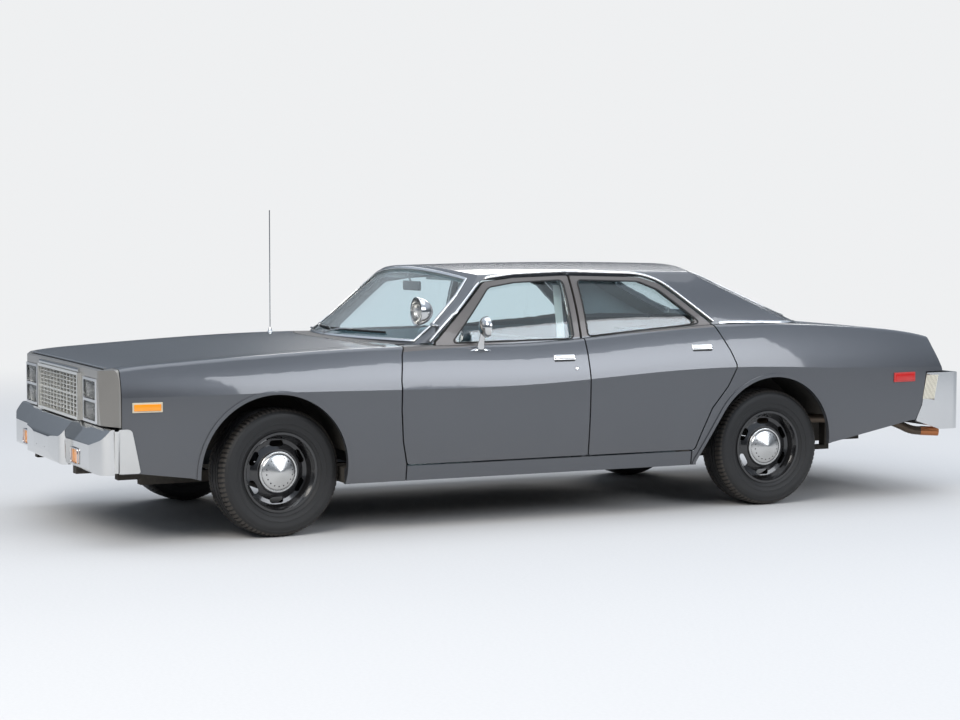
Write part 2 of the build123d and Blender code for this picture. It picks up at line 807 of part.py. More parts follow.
# Floor, sills, rails and wheel housings
floor_under = floor_z - 15
floor = block(-790, 790, firewall_y, 1010, floor_under, floor_z)
floor += block(-tunnel_half, tunnel_half, firewall_y, 1010, floor_z, floor_z + tunnel_high)
kick = block(-790, 790, 1000, 1010, floor_under, boot_floor_z)
pan = floor + kick
tunnel_in = tunnel_half - 14
pan -= block(-tunnel_in, tunnel_in, firewall_y - 1, 1011, floor_under - 1, floor_z + tunnel_high - 14)
pan += block(-780, 780, 1010, tail_panel_y, boot_floor_z - 10, boot_floor_z)
sill_front_y = front_arch_y + arch_radius + 4
sill = inside & block(790, 1000, sill_front_y, rear_arch_lead_y + 20, sill_foot_z, sill_top_z)
sill -= rear_arch(wheelhouse_wall + 10)
sill += body_out & block(900, 1000, -1003, quarter_front_y - shut_gap, sill_foot_z, sill_top_z - 1)
sill -= rear_arch(wheelhouse_wall + 10)
rail_front = block(rail_x0, rail_x1, -2300, -800, floor_under - 60, floor_under)
rail_front += block(rail_x0, rail_x1, -2420, -2240, floor_under - 30, floor_under + 40)
horn_y = bumper_end_y + 28
horn_z = floor_under + 15
rail_front += block(rail_x0, rail_x1, horn_y, -2380, horn_z, support_foot_z - 0.3)
rail_front += block(rail_x0, rail_x1, horn_y, bumper_back_y - 3, horn_z, bumper_front_z0 + 7)
rail_front -= front_shell
rail_rear = block(500, 560, 1010, tail_panel_y, 440, boot_floor_z - 10)
rail_rear += block(500, 560, 2300, tail_y - 8, 420, 454)
rail_rear -= rear_shell
for piece in twin(sill) + twin(rail_front) + twin(rail_rear):
    pan += piece
for piece in twin(rod_x(rear_house_x, 1100, rear_arch_y, arch_z, wheelhouse_radius)):
    pan -= piece


def wheelhouse(centre_y, inner_x, cap_z):
    ring = rod_x(inner_x, 1000, centre_y, arch_z, wheelhouse_radius)
    ring -= rod_x(inner_x + wheelhouse_wall, 1100, centre_y, arch_z, wheelhouse_radius - wheelhouse_wall)
    return ring & inside & block(0, 1100, -3000, 3000, cap_z, 900)


# the inner wall stands far enough in for a front tyre at full lock
front_house = wheelhouse(front_arch_y, front_house_x, 430)
apron_x = front_house_x + wheelhouse_wall
apron = block(front_house_x, apron_x, nose_panel_y + 15, firewall_y - 10, 430, 880)
keep("inner_fenders", twin(front_house + (apron & inside)))
rear_house = wheelhouse(rear_arch_y, rear_house_x, boot_floor_z - 10)
for piece in twin(rear_house):
    pan += piece
keep("floor_and_frame", pan)

# Wheels: tyre, pressed steel wheel and cap, made at the origin with the axle along +X
tyre_profile = (
    (-77, tyre_bead_radius),
    (77, tyre_bead_radius),
    (101, 240),
    (tyre_width / 2, 285),
    (92, 325),
    (76, tyre_radius),
    (-76, tyre_radius),
    (-92, 325),
    (-tyre_width / 2, 285),
    (-101, 240),
)
tyre = revolve(make_face(Polyline(*tyre_profile, close=True)), Axis.X)
rim_profile = (
    (-rim_half_width, 190),
    (-rim_half_width, rim_lip_radius),
    (-rim_half_width + 8, rim_lip_radius),
    (-rim_half_width + 8, tyre_bead_radius - 0.3),
    (rim_half_width - 8, tyre_bead_radius - 0.3),
    (rim_half_width - 8, rim_lip_radius),
    (rim_half_width, rim_lip_radius),
    (rim_half_width, 196),
    (70, 183),
    (40, 170),
    (34, 150),
    (52, 118),
    (46, 60),
    (hub_face_x, 58),
    (hub_face_x, 34),
    (hub_face_x - 12, 34),
    (hub_face_x - 12, 64),
    (40, 66),
    (45, 116),
    (26, 148),
    (30, 174),
    (20, 186),
    (-60, 184),
    (-70, 188),
    (-rim_half_width + 6, 190),
)
wheel = revolve(make_face(Polyline(*rim_profile, close=True)), Axis.X)
for index in range(wheel_slots):
    slot = extrude(Plane.YZ * Pos(0, 148) * SlotOverall(wheel_slot_long, wheel_slot_wide), 80)
    wheel -= Rot(360 * index / wheel_slots, 0, 0) * slot
hub_bore = rod_x(hub_in_x - 1, hub_face_x - 18, 0, 0, spindle_radius + 0.3)
wheel += rod_x(hub_in_x, hub_face_x, 0, 0, 60) - hub_bore
cap_profile = (
    (51, cap_radius - 4),
    (57, cap_radius),
    (68, cap_radius - 8),
    (68, 92),
    (78, 82),
    (90, 56),
    (94, 30),
    (96, 0),
    (90, 0),
    (86, 50),
    (74, 78),
    (51, 96),
)
cap = revolve(make_face(Polyline(*cap_profile, close=True)), Axis.X)


def steered(sign):
    # the car is parked with its front wheels turned a little to the left
    return Pos(sign * king_x, front_axle_y, 0) * Rot(0, 0, steer_rest)


for end, axle_y in (("front", front_axle_y), ("rear", rear_axle_y)):
    for side, sign in (("left", 1), ("right", -1)):
        place = Pos(sign * track_half, axle_y, tyre_radius)
        if end == "front":
            place = steered(sign) * Pos(sign * (track_half - king_x), 0, tyre_radius)
        turn_over = place if sign > 0 else place * Rot(0, 0, 180)
        keep(f"tyre_{end}_{side}", turn_over * tyre)
        keep(f"wheel_{end}_{side}", turn_over * wheel)
        keep(f"hubcap_{end}_{side}", turn_over * cap)

# Front suspension, knuckles, rear axle and springs
axle_z = tyre_radius
engine_z0 = 330
arm_top_z = 252
front_beam = block(-rail_x0, rail_x0, front_axle_y - 60, front_axle_y + 60, 250, engine_z0)
for side in (1, -1):
    inner, outer = sorted((side * (rail_x0 - 10), side * (king_x + 20)))
    front_beam += block(inner, outer, front_axle_y - 45, front_axle_y + 45, arm_top_z - 20, arm_top_z)
keep("front_suspension", front_beam)
hub_reach = track_half + hub_in_x - king_x
for side, sign in (("left", 1), ("right", -1)):
    foot = rod_z(0, 0, arm_top_z + 0.3, arm_top_z + 40, 58) & block(-60, hub_reach - 1, -60, 60, 0, 500)
    upright = block(-40, -6, -40, 40, arm_top_z + 30, axle_z + 85)
    pin = rod_x(-30, hub_reach - hub_in_x + hub_face_x - 20, 0, axle_z, spindle_radius)
    knuckle = foot + upright + pin
    keep(f"knuckle_{side}", steered(sign) * (knuckle if sign > 0 else mirror(knuckle, about=Plane.YZ)))

axle_end = track_half + hub_in_x - 0.3
axle_tube = rod_x(-axle_end, axle_end, rear_axle_y, axle_z, 40)
spindle_end = track_half + hub_face_x - 20
axle_tube += rod_x(-spindle_end, spindle_end, rear_axle_y, axle_z, spindle_radius)
axle_tube += Pos(0, rear_axle_y, axle_z) * Sphere(120)
axle_tube += rod_y(0, gearbox_end_y + 0.3, rear_axle_y - 100, axle_z, 38)
spring = block(500, 560, 700, 1940, 265, 290)
spring += block(500, 560, rear_axle_y - 50, rear_axle_y + 50, 265, axle_z - 40.3)
spring += block(500, 560, 690, 720, 265, floor_under) + block(500, 560, 1910, 1940, 265, 440)
keep("rear_axle_and_springs", [axle_tube, *twin(spring)])

# Engine block, exhaust and tank
engine = block(-300, 300, -2240, -1420, engine_z0, 860)
engine += block(-110, 110, -1420, gearbox_end_y, engine_z0 - 60, engine_z0 + 65)
keep("engine", engine)
exhaust = rod_y(600, -1000, 640, floor_under - 28.3, 28)
keep("exhaust", exhaust)
tank = block(-420, 420, 1720, 2260, 300, boot_floor_z - 10)
keep("fuel_tank", tank)

# Cabin
dash = side_prism(
    (
        (firewall_y, 700, 0),
        (firewall_y, 940, 0),
        (-900, 960, 0),
        (-760, 950, 30),
        (-720, 860, 40),
        (-800, 700, 30),
        (-900, 660, 0),
    ),
    -790,
    790,
)
dash = dash & body_in & screen_drum(60)
wheel_lean = math.radians(column_lean)
wheel_plane = Plane(origin=wheel_centre, z_dir=(0, math.sin(wheel_lean), math.cos(wheel_lean)))
column = wheel_plane * Pos(0, 0, -195.3) * Cylinder(28, 360)
keep("dashboard", dash + column)
rim = wheel_plane * Torus(185, 14)
spokes = wheel_plane * Box(360, 34, 12) + wheel_plane * Cylinder(45, 30)
keep("steering_wheel", rim + spokes)
front_seat = side_prism(
    (
        (-400, floor_z, 30),
        (-420, 520, 60),
        (40, 500, 20),
        (120, 960, 40),
        (250, 950, 40),
        (190, 500, 0),
        (190, floor_z, 30),
    ),
    -front_seat_half,
    front_seat_half,
)
seat_notch = block(-tunnel_half - 2, tunnel_half + 2, -500, 1010, 0, floor_z + tunnel_high + 1)
keep("front_seat", front_seat - seat_notch)
rear_seat = side_prism(
    (
        (560, floor_z, 30),
        (540, 540, 60),
        (940, 510, 20),
        (1080, 980, 40),
        (1180, 980, 30),
        (1100, boot_floor_z + 0.3, 0),
        (999, boot_floor_z + 0.3, 0),
        (999, floor_z, 0),
    ),
    -rear_seat_half,
    rear_seat_half,
)
keep("rear_seat", rear_seat - seat_notch)

# Antenna, mirror and spotlight
antenna = rod_z(-880, -1110, 930, 1700, 3) + rod_z(-880, -1110, 925, 960, 12)
keep("antenna", antenna - body_out)
door_mirror = Pos(962, mirror_y, 1068) * Rot(90, 0, 0) * Cylinder(57, 44)
door_mirror += rod_z(925, mirror_y, 930, 1045, 9)
keep("mirror", door_mirror - body_out)
spotlight = Pos(812, -842, 1150) * Rot(90, 0, 0) * Cylinder(78, 100) + rod_y(806, -850, -700, 1080, 11)
keep("spotlight", spotlight - roof_out)

os.makedirs("parts", exist_ok=True)
for name, shape in parts.items():
    export_step(shape, f"parts/{name}.step")
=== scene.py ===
import json
import math

import bmesh
import bpy
from mathutils import Matrix, Vector
from mathutils.bvhtree import BVHTree


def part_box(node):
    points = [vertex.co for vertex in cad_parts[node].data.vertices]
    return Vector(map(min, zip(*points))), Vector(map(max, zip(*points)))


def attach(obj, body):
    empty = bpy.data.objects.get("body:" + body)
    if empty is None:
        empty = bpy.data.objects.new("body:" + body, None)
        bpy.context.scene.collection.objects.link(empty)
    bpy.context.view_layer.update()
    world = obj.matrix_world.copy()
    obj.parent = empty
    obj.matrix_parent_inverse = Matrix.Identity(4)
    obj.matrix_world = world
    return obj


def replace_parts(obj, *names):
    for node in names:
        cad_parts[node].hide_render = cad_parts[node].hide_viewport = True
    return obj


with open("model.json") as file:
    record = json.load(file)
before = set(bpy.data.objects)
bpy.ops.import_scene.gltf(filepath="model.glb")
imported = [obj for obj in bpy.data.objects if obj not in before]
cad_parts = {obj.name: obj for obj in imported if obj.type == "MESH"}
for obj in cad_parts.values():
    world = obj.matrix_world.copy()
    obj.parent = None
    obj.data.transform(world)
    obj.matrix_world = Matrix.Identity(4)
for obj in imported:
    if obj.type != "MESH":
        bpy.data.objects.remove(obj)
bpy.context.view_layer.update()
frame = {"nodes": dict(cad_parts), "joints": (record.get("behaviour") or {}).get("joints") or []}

cadNodes = frame["nodes"]
sides = (("left", 1), ("right", -1))
ends = ("front", "rear")
corners = [f"{end}_{side}" for end in ends for side, sign in sides]
scene = bpy.context.scene
scene.view_settings.view_transform = "Standard"
print("car frame loaded")


# short ways to build objects and node trees
def addPiece(name, data):
    piece = bpy.data.objects.new(name, data)
    scene.collection.objects.link(piece)
    return piece


def feed(tree, socket, value):
    # another node's socket is linked, a plain value is set
    if isinstance(value, bpy.types.NodeSocket):
        tree.links.new(value, socket)
    else:
        socket.default_value = value


def addNode(tree, kind, inputs=(), **options):
    node = tree.nodes.new(kind)
    for option, value in options.items():
        setattr(node, option, value)
    for label, value in dict(inputs).items():
        feed(tree, node.inputs[label], value)
    return node


def mathNode(tree, operation, *values, clamp=False):
    inputs = dict(enumerate(values))
    return addNode(tree, "ShaderNodeMath", inputs, operation=operation, use_clamp=clamp).outputs[0]


def startFinish(name):
    mat = bpy.data.materials.new(name)
    mat.use_nodes = True
    tree = mat.node_tree
    return mat, tree, tree.nodes["Principled BSDF"], addNode(tree, "ShaderNodeTexCoord").outputs


def mixShaders(tree, share, first, second):
    mix = addNode(tree, "ShaderNodeMixShader", {"Fac": share, 1: first.outputs[0], 2: second.outputs[0]})
    out = next(node for node in tree.nodes if node.type in ("OUTPUT_MATERIAL", "OUTPUT_WORLD"))
    feed(tree, out.inputs["Surface"], mix.outputs[0])


def seenDirectly(tree):
    # 1 for what the camera sees, straight or through glass
    path = addNode(tree, "ShaderNodeLightPath").outputs
    return mathNode(tree, "MAXIMUM", path["Is Camera Ray"], path["Is Transmission Ray"])


# camera, floor and lamps
cameraValues = {
    "place": (10.839, -5.2704, 1.5932),
    "yaw": 0.443,
    "pitch": 0.064,
    "roll": 0.001,
    "lens": 77.11,
    "sensor": 36.0,
}


def makeCamera(v):
    yaw, pitch, roll = v["yaw"], v["pitch"], v["roll"]
    level = math.cos(pitch)
    ahead = Vector((-math.cos(yaw) * level, math.sin(yaw) * level, -math.sin(pitch)))
    right = Vector((math.sin(yaw), math.cos(yaw), 0))
    up = right.cross(ahead)
    c, s = math.cos(roll), math.sin(roll)
    right, up = c * right + s * up, c * up - s * right
    data = bpy.data.cameras.new("photoCamera")
    data.lens = v["lens"]
    data.sensor_width = v["sensor"]
    data.sensor_fit = "HORIZONTAL"
    data.clip_end = 200
    data.dof.use_dof = False
    scene.camera = addPiece("photoCamera", data)
    turn = Matrix((right, up, -ahead)).transposed().to_4x4()
    scene.camera.matrix_world = Matrix.Translation(v["place"]) @ turn


stageValues = {
    "floorSize": 90.0,
    "floorColor": (0.62, 0.61, 0.6),
    "fadeFrom": 5.0,
    "fadeTo": 13.0,
    "backdrop": (0.86, 0.87, 0.88),
    "skyLight": (0.74, 0.84, 0.98),
    "skyStrength": 0.8,
    # height and level; a dark band low on the horizon gives the bright metal its contrast
    "skyStops": ((0.0, 0.3), (0.49, 0.34), (0.515, 0.16), (0.6, 0.3), (0.7, 0.85), (1.0, 1.15)),
}
# name, place, target, width, height, watts, colour
lampTable = (
    ("keyLamp", (7.5, -9.0, 8.5), (0.2, -0.5, 0.6), 7.0, 5.0, 900, (1.0, 0.96, 0.9)),
    ("sideLamp", (11.0, 5.0, 6.0), (0, 0.4, 0.7), 8.0, 4.0, 520, (0.92, 0.95, 1.0)),
    ("topLamp", (0, 0, 9.0), (0, 0, 0), 9.0, 13.0, 420, (0.95, 0.97, 1.0)),
    ("backLamp", (-10.0, 6.0, 6.0), (0, 0, 0.7), 8.0, 4.0, 380, (1.0, 0.98, 0.95)),
)


def makeFloor(v):
    bpy.ops.mesh.primitive_plane_add(size=v["floorSize"], location=(0, 0, -0.0005))
    floor = bpy.context.object
    floor.name = "studioFloor"
    mat, tree, shader, spots = startFinish("studioFloor")
    place = spots["Object"]
    noise = addNode(tree, "ShaderNodeTexNoise", {"Vector": place, "Scale": 60, "Detail": 6})
    level = addNode(tree, "ShaderNodeMapRange", {"Value": noise.outputs["Fac"], "To Min": 0.96, "To Max": 1.04})
    tint = {0: v["floorColor"], "Scale": level.outputs["Result"]}
    color = addNode(tree, "ShaderNodeVectorMath", tint, operation="SCALE")
    feed(tree, shader.inputs["Base Color"], color.outputs["Vector"])
    feed(tree, shader.inputs["Roughness"], 0.9)
    feed(tree, shader.inputs["Specular IOR Level"], 0.0)
    # the far floor fades into the backdrop, so that no horizon shows
    reach = addNode(tree, "ShaderNodeVectorMath", {0: place}, operation="LENGTH")
    span = {"Value": reach.outputs["Value"], "From Min": v["fadeFrom"], "From Max": v["fadeTo"]}
    fade = addNode(tree, "ShaderNodeMapRange", span, interpolation_type="SMOOTHSTEP")
    pale = addNode(tree, "ShaderNodeEmission", {"Color": (*v["backdrop"], 1)})
    mixShaders(tree, mathNode(tree, "MULTIPLY", fade.outputs["Result"], seenDirectly(tree)), shader, pale)
    floor.data.materials.append(mat)


def makeBackdrop(v):
    world = bpy.data.worlds.new("studioSky")
    scene.world = world
    world.use_nodes = True
    tree = world.node_tree
    tree.nodes.clear()
    tree.nodes.new("ShaderNodeOutputWorld")
    where = addNode(tree, "ShaderNodeTexCoord").outputs["Generated"]
    split = addNode(tree, "ShaderNodeSeparateXYZ", {"Vector": where})
    height = addNode(tree, "ShaderNodeMapRange", {"Value": split.outputs["Z"], "From Min": -1})
    ramp = addNode(tree, "ShaderNodeValToRGB", {"Fac": height.outputs["Result"]})
    elements = ramp.color_ramp.elements
    while len(elements) < len(v["skyStops"]):
        elements.new(0.5)
    for element, (place, level) in zip(elements, v["skyStops"]):
        element.position = place
        element.color = (*[level * part for part in v["skyLight"]], 1)
    sky = addNode(tree, "ShaderNodeBackground", {"Color": ramp.outputs["Color"], "Strength": v["skyStrength"]})
    pale = addNode(tree, "ShaderNodeBackground", {"Color": (*v["backdrop"], 1)})
    mixShaders(tree, seenDirectly(tree), sky, pale)


def makeLamps(table):
    for name, place, target, width, height, watts, color in table:
        data = bpy.data.lights.new(name, "AREA")
        data.shape = "RECTANGLE"
        data.size, data.size_y = width, height
        data.energy = watts
        data.color = color
        lamp = addPiece(name, data)
        lamp.location = place
        lamp.rotation_euler = (Vector(target) - Vector(place)).to_track_quat("-Z", "Y").to_euler()


makeCamera(cameraValues)
makeFloor(stageValues)
makeBackdrop(stageValues)
makeLamps(lampTable)
print("camera, floor and lamps ready")


# shader node groups used by several finishes
def newGroup(name, ins, outs):
    tree = bpy.data.node_groups.new(name, "ShaderNodeTree")
    tree.interface.new_socket("Vector", in_out="INPUT", socket_type="NodeSocketVector")
    for label, value in ins.items():
        kind = "NodeSocketVector" if value is None else "NodeSocketFloat"
        socket = tree.interface.new_socket(label, in_out="INPUT", socket_type=kind)
        if value is not None:
            socket.default_value = value
    for label in outs:
        tree.interface.new_socket(label, in_out="OUTPUT", socket_type="NodeSocketFloat")
    return tree, tree.nodes.new("NodeGroupInput").outputs, tree.nodes.new("NodeGroupOutput").inputs


def makeMottle():
    # soft patches and fine grain, as one mask and one height
    tree, inn, out = newGroup("mottle", {"Patch": 4.0, "Grain": 120.0}, ("Mask", "Height"))
    spread = {"Vector": inn["Vector"], "Scale": inn["Patch"], "Detail": 5, "Roughness": 0.6}
    patch = addNode(tree, "ShaderNodeTexNoise", spread).outputs["Fac"]
    fine = {"Vector": inn["Vector"], "Scale": inn["Grain"], "Detail": 3}
    grain = addNode(tree, "ShaderNodeTexNoise", fine).outputs["Fac"]
    feed(tree, out["Mask"], mathNode(tree, "MULTIPLY_ADD", grain, 0.35, mathNode(tree, "MULTIPLY", patch, 0.65)))
    feed(tree, out["Height"], grain)
    return tree


def makeRoadFilm():
    # a thin film of road dust, thick near the ground and broken up by noise
    tree, inn, out = newGroup("roadFilm", {"Top": 0.5, "Amount": 0.4}, ("Mask",))
    split = addNode(tree, "ShaderNodeSeparateXYZ", {"Vector": inn["Vector"]})
    span = {"Value": split.outputs["Z"], "From Max": inn["Top"], "To Min": 1, "To Max": 0}
    fall = addNode(tree, "ShaderNodeMapRange", span, interpolation_type="SMOOTHSTEP")
    cloudy = {"Vector": inn["Vector"], "Scale": 14, "Detail": 7, "Roughness": 0.65}
    noise = addNode(tree, "ShaderNodeTexNoise", cloudy)
    film = mathNode(tree, "MULTIPLY", fall.outputs["Result"], noise.outputs["Fac"])
    feed(tree, out["Mask"], mathNode(tree, "MULTIPLY", film, inn["Amount"], clamp=True))
    return tree


def makeZone():
    # 1 beyond a sloping plane: the vector's dot product with Direction, past Edge
    tree, inn, out = newGroup("zone", {"Direction": None, "Edge": 0.0}, ("Mask",))
    dot = addNode(tree, "ShaderNodeVectorMath", {0: inn["Vector"], 1: inn["Direction"]}, operation="DOT_PRODUCT")
    feed(tree, out["Mask"], mathNode(tree, "GREATER_THAN", dot.outputs["Value"], inn["Edge"]))
    return tree


mottleGroup = makeMottle()
roadFilmGroup = makeRoadFilm()
zoneGroup = makeZone()


def placeGroup(tree, group, vector, **values):
    return addNode(tree, "ShaderNodeGroup", {"Vector": vector, **values}, node_tree=group).outputs


def blendColor(tree, mask, first, second):
    # first and second are sockets or plain colours
    mix = addNode(tree, "ShaderNodeMix", {0: mask}, data_type="RGBA")
    for slot, value in ((6, first), (7, second)):
        feed(tree, mix.inputs[slot], value if isinstance(value, bpy.types.NodeSocket) else (*value, 1))
    return mix.outputs[2]


def blendValue(tree, mask, first, second):
    return addNode(tree, "ShaderNodeMix", {0: mask, 2: first, 3: second}).outputs[0]


# finishes; a row that ends after the bump height has no dust
finishKeys = ("dark", "light", "rough", "metal", "coat", "patch", "grain", "bump", "dustTop", "dust")
finishRows = {
    "bodyPaint": ((0.08, 0.084, 0.093), (0.104, 0.109, 0.12), (0.3, 0.36), 0.55, 1, 1.6, 900, 0.00002, 0.62, 0.25),
    # nose panel: the body's grey painted lighter and warmer, as painted sunlight reflected on the panel
    "nosePaintedSunlight": ((0.2, 0.185, 0.165), (0.25, 0.235, 0.21), (0.3, 0.38), 0.25, 0.8, 3, 900, 0.00002, 0.6, 0.2),
    "fillerPlastic": ((0.52, 0.52, 0.51), (0.6, 0.6, 0.59), (0.45, 0.6), 0, 0, 6, 500, 0.00004, 0.7, 0.4),
    "chrome": ((0.62, 0.62, 0.62), (0.74, 0.74, 0.73), (0.05, 0.12), 1, 0, 7, 260, 0.00001, 0.55, 0.15),
    "dullChrome": ((0.42, 0.41, 0.4), (0.55, 0.54, 0.52), (0.2, 0.32), 1, 0, 9, 300, 0.00002, 0.55, 0.2),
    "brightTrim": ((0.66, 0.66, 0.66), (0.78, 0.78, 0.78), (0.14, 0.22), 1, 0, 9, 400, 0.00001),
    "satinSilver": ((0.78, 0.77, 0.73), (0.88, 0.87, 0.83), (0.26, 0.38), 0.8, 0, 14, 300, 0.00008),
    "lampBowl": ((0.72, 0.72, 0.7), (0.85, 0.85, 0.84), (0.08, 0.16), 1, 0, 20, 60, 0.002),
    "wheelPaint": ((0.004, 0.004, 0.005), (0.009, 0.009, 0.01), (0.1, 0.2), 0, 0.8, 8, 400, 0.00002, 0.9, 0.06),
    "capSteel": ((0.56, 0.56, 0.55), (0.7, 0.69, 0.67), (0.2, 0.3), 1, 0, 18, 500, 0.00003),
    "tyreRubber": ((0.006, 0.0062, 0.0068), (0.013, 0.0132, 0.014), (0.46, 0.62), 0, 0, 9, 260, 0.0002, 0.75, 0.07),
    # shoulder blocks: lighter and browner than the rubber, partly road dust and partly painted light where the tread is
    # lit
    "tyreTreadDustAndLight": ((0.03, 0.026, 0.023), (0.052, 0.046, 0.04), (0.6, 0.75), 0, 0, 9, 260, 0.0002, 0.75, 0.2),
    "blackEnamel": ((0.01, 0.01, 0.011), (0.022, 0.021, 0.02), (0.45, 0.65), 0, 0, 6, 240, 0.0001, 0.7, 0.5),
    "underCoat": ((0.012, 0.011, 0.01), (0.03, 0.027, 0.023), (0.75, 0.92), 0, 0, 5, 150, 0.0008, 0.8, 0.7),
    "engineIron": ((0.02, 0.035, 0.05), (0.045, 0.065, 0.085), (0.5, 0.75), 0.2, 0, 7, 180, 0.0006, 0.9, 0.4),
    "exhaustSteel": ((0.1, 0.075, 0.055), (0.22, 0.17, 0.13), (0.45, 0.7), 0.8, 0, 11, 200, 0.0003, 0.7, 0.4),
    "copperTip": ((0.42, 0.15, 0.06), (0.66, 0.27, 0.12), (0.22, 0.4), 1, 0, 16, 300, 0.0001, 0.4, 0.3),
    "sealRubber": ((0.008, 0.008, 0.008), (0.018, 0.018, 0.018), (0.5, 0.7), 0, 0, 9, 400, 0.0001),
    "amberLens": ((0.9, 0.26, 0.006), (1.0, 0.38, 0.02), (0.1, 0.2), 0, 0.6, 20, 300, 0.0002),
    "redLens": ((0.45, 0.008, 0.008), (0.66, 0.02, 0.015), (0.1, 0.2), 0, 0.6, 20, 300, 0.0002),
    "redBorder": ((0.5, 0.03, 0.03), (0.62, 0.05, 0.04), (0.3, 0.4), 0, 0.3, 20, 300, 0.0001),
    "paleBorder": ((0.62, 0.55, 0.4), (0.72, 0.66, 0.52), (0.3, 0.4), 0.3, 0, 20, 300, 0.0001),
    "fluteCream": ((0.74, 0.7, 0.58), (0.86, 0.82, 0.7), (0.35, 0.5), 0, 0.2, 20, 300, 0.0001),
    "fluteGroove": ((0.18, 0.15, 0.12), (0.26, 0.22, 0.18), (0.5, 0.65), 0, 0, 20, 300, 0.0001),
    "frameSatin": ((0.11, 0.1, 0.095), (0.15, 0.138, 0.13), (0.35, 0.42), 0.5, 0.3, 3, 700, 0.00002),
    "cabinVinyl": ((0.12, 0.17, 0.2), (0.16, 0.215, 0.245), (0.42, 0.58), 0, 0, 4, 420, 0.0005),
    "seatCloth": ((0.23, 0.3, 0.34), (0.3, 0.38, 0.42), (0.62, 0.8), 0, 0, 7, 700, 0.0008),
    "beltWebbing": ((0.6, 0.6, 0.57), (0.74, 0.74, 0.71), (0.6, 0.75), 0, 0, 20, 900, 0.0003),
    "carpet": ((0.03, 0.045, 0.055), (0.06, 0.08, 0.095), (0.9, 1.0), 0, 0, 9, 900, 0.002),
    "headliner": ((0.3, 0.33, 0.34), (0.38, 0.41, 0.42), (0.8, 0.9), 0, 0, 6, 600, 0.0005),
    "gaugeFace": ((0.01, 0.01, 0.012), (0.02, 0.02, 0.022), (0.3, 0.45), 0, 0.3, 20, 300, 0),
    "paleMark": ((0.62, 0.62, 0.58), (0.8, 0.8, 0.76), (0.5, 0.6), 0, 0, 20, 300, 0),
}
finishTable = {name: dict(zip(finishKeys, (*row, 0, 0))) for name, row in finishRows.items()}
dustColor = (0.17, 0.145, 0.115)
beltSlope = 0.049  # the belt line rises to the rear by this much
# finish: its base, then planes to be beyond (what is read, direction, edge) and the finish to take there
zoneTable = {
    "doorFinish": ("bodyPaint", (
        ((("Object", (0, -beltSlope, 1), 0.994),), "frameSatin"),
        ((("Object", (-1, 0, 0), -0.815), ("Object", (1, 0, 0), -0.815), ("Object", (0, 0, -1), -0.99)), "cabinVinyl"),
    )),
    "roofFinish": ("bodyPaint", (((("Normal", (0, 0, -1), 0.25),), "headliner"),)),
    "floorFinish": ("underCoat", (
        ((("Normal", (0, 0, 1), 0.5), ("Object", (0, 0, 1), 0.332), ("Object", (-1, 0, 0), -0.8),
          ("Object", (1, 0, 0), -0.8), ("Object", (0, 1, 0), -1.12), ("Object", (0, -1, 0), -1.2)), "carpet"),
        ((("Object", (1, 0, 0), 0.898),), "bodyPaint"),
        ((("Object", (-1, 0, 0), 0.898),), "bodyPaint"),
    )),
}
finishes = {}


def makeFinish(name, v, zones=()):
    mat, tree, shader, spots = startFinish(name)
    place = spots["Object"]
    mottle = placeGroup(tree, mottleGroup, place, Patch=v["patch"], Grain=v["grain"])
    color = blendColor(tree, mottle["Mask"], v["dark"], v["light"])
    rough = blendValue(tree, mottle["Mask"], *v["rough"])
    metal, coat = v["metal"], v["coat"]
    if v["dust"]:
        film = placeGroup(tree, roadFilmGroup, place, Top=v["dustTop"], Amount=v["dust"])["Mask"]
        color = blendColor(tree, film, color, dustColor)
        rough = blendValue(tree, film, rough, 0.85)
    for planes, other in zones:
        w = finishTable[other]
        steps = [placeGroup(tree, zoneGroup, spots[source], Direction=direction, Edge=edge)["Mask"]
                 for source, direction, edge in planes]
        mask = steps[0]
        for step in steps[1:]:
            mask = mathNode(tree, "MULTIPLY", mask, step)
        grain = placeGroup(tree, mottleGroup, place, Patch=w["patch"], Grain=w["grain"])["Mask"]
        color = blendColor(tree, mask, color, blendColor(tree, grain, w["dark"], w["light"]))
        rough = blendValue(tree, mask, rough, w["rough"][1])
        metal = blendValue(tree, mask, metal, w["metal"])
        coat = blendValue(tree, mask, coat, w["coat"])
    looks = {"Base Color": color, "Roughness": rough, "Metallic": metal, "Coat Weight": coat, "Coat Roughness": 0.04}
    if v["bump"]:
        relief = {"Strength": 0.5, "Distance": v["bump"], "Height": mottle["Height"]}
        looks["Normal"] = addNode(tree, "ShaderNodeBump", relief).outputs["Normal"]
    for label, value in looks.items():
        feed(tree, shader.inputs[label], value)
    finishes[name] = mat


def makeGlass(name, tint, rough, flutes=0.0):
    mat, tree, shader, spots = startFinish(name)
    mottle = placeGroup(tree, mottleGroup, spots["Object"], Patch=3.0, Grain=80.0)
    haze = blendValue(tree, mottle["Mask"], rough, rough + 0.015)
    looks = {"Base Color": (*tint, 1), "Transmission Weight": 1.0, "IOR": 1.6, "Roughness": haze}
    if flutes:
        wave = addNode(tree, "ShaderNodeTexWave", {"Vector": spots["Object"], "Scale": flutes}, bands_direction="X")
        relief = {"Distance": 0.002, "Height": wave.outputs["Fac"]}
        looks["Normal"] = addNode(tree, "ShaderNodeBump", relief).outputs["Normal"]
    for label, value in looks.items():
        feed(tree, shader.inputs[label], value)
    # lamps shine through the pane
    shadow = addNode(tree, "ShaderNodeLightPath").outputs["Is Shadow Ray"]
    mixShaders(tree, shadow, shader, addNode(tree, "ShaderNodeBsdfTransparent", {"Color": (*tint, 1)}))
    finishes[name] = mat


for finishName, finishValues in finishTable.items():
    makeFinish(finishName, finishValues)
for finishName, (baseName, zoneRows) in zoneTable.items():
    makeFinish(finishName, finishTable[baseName], zoneRows)
makeGlass("tintedGlass", (0.8, 0.9, 0.93), 0.0)
makeGlass("lampGlass", (0.94, 0.95, 0.95), 0.02, flutes=26.0)
print("finishes ready")

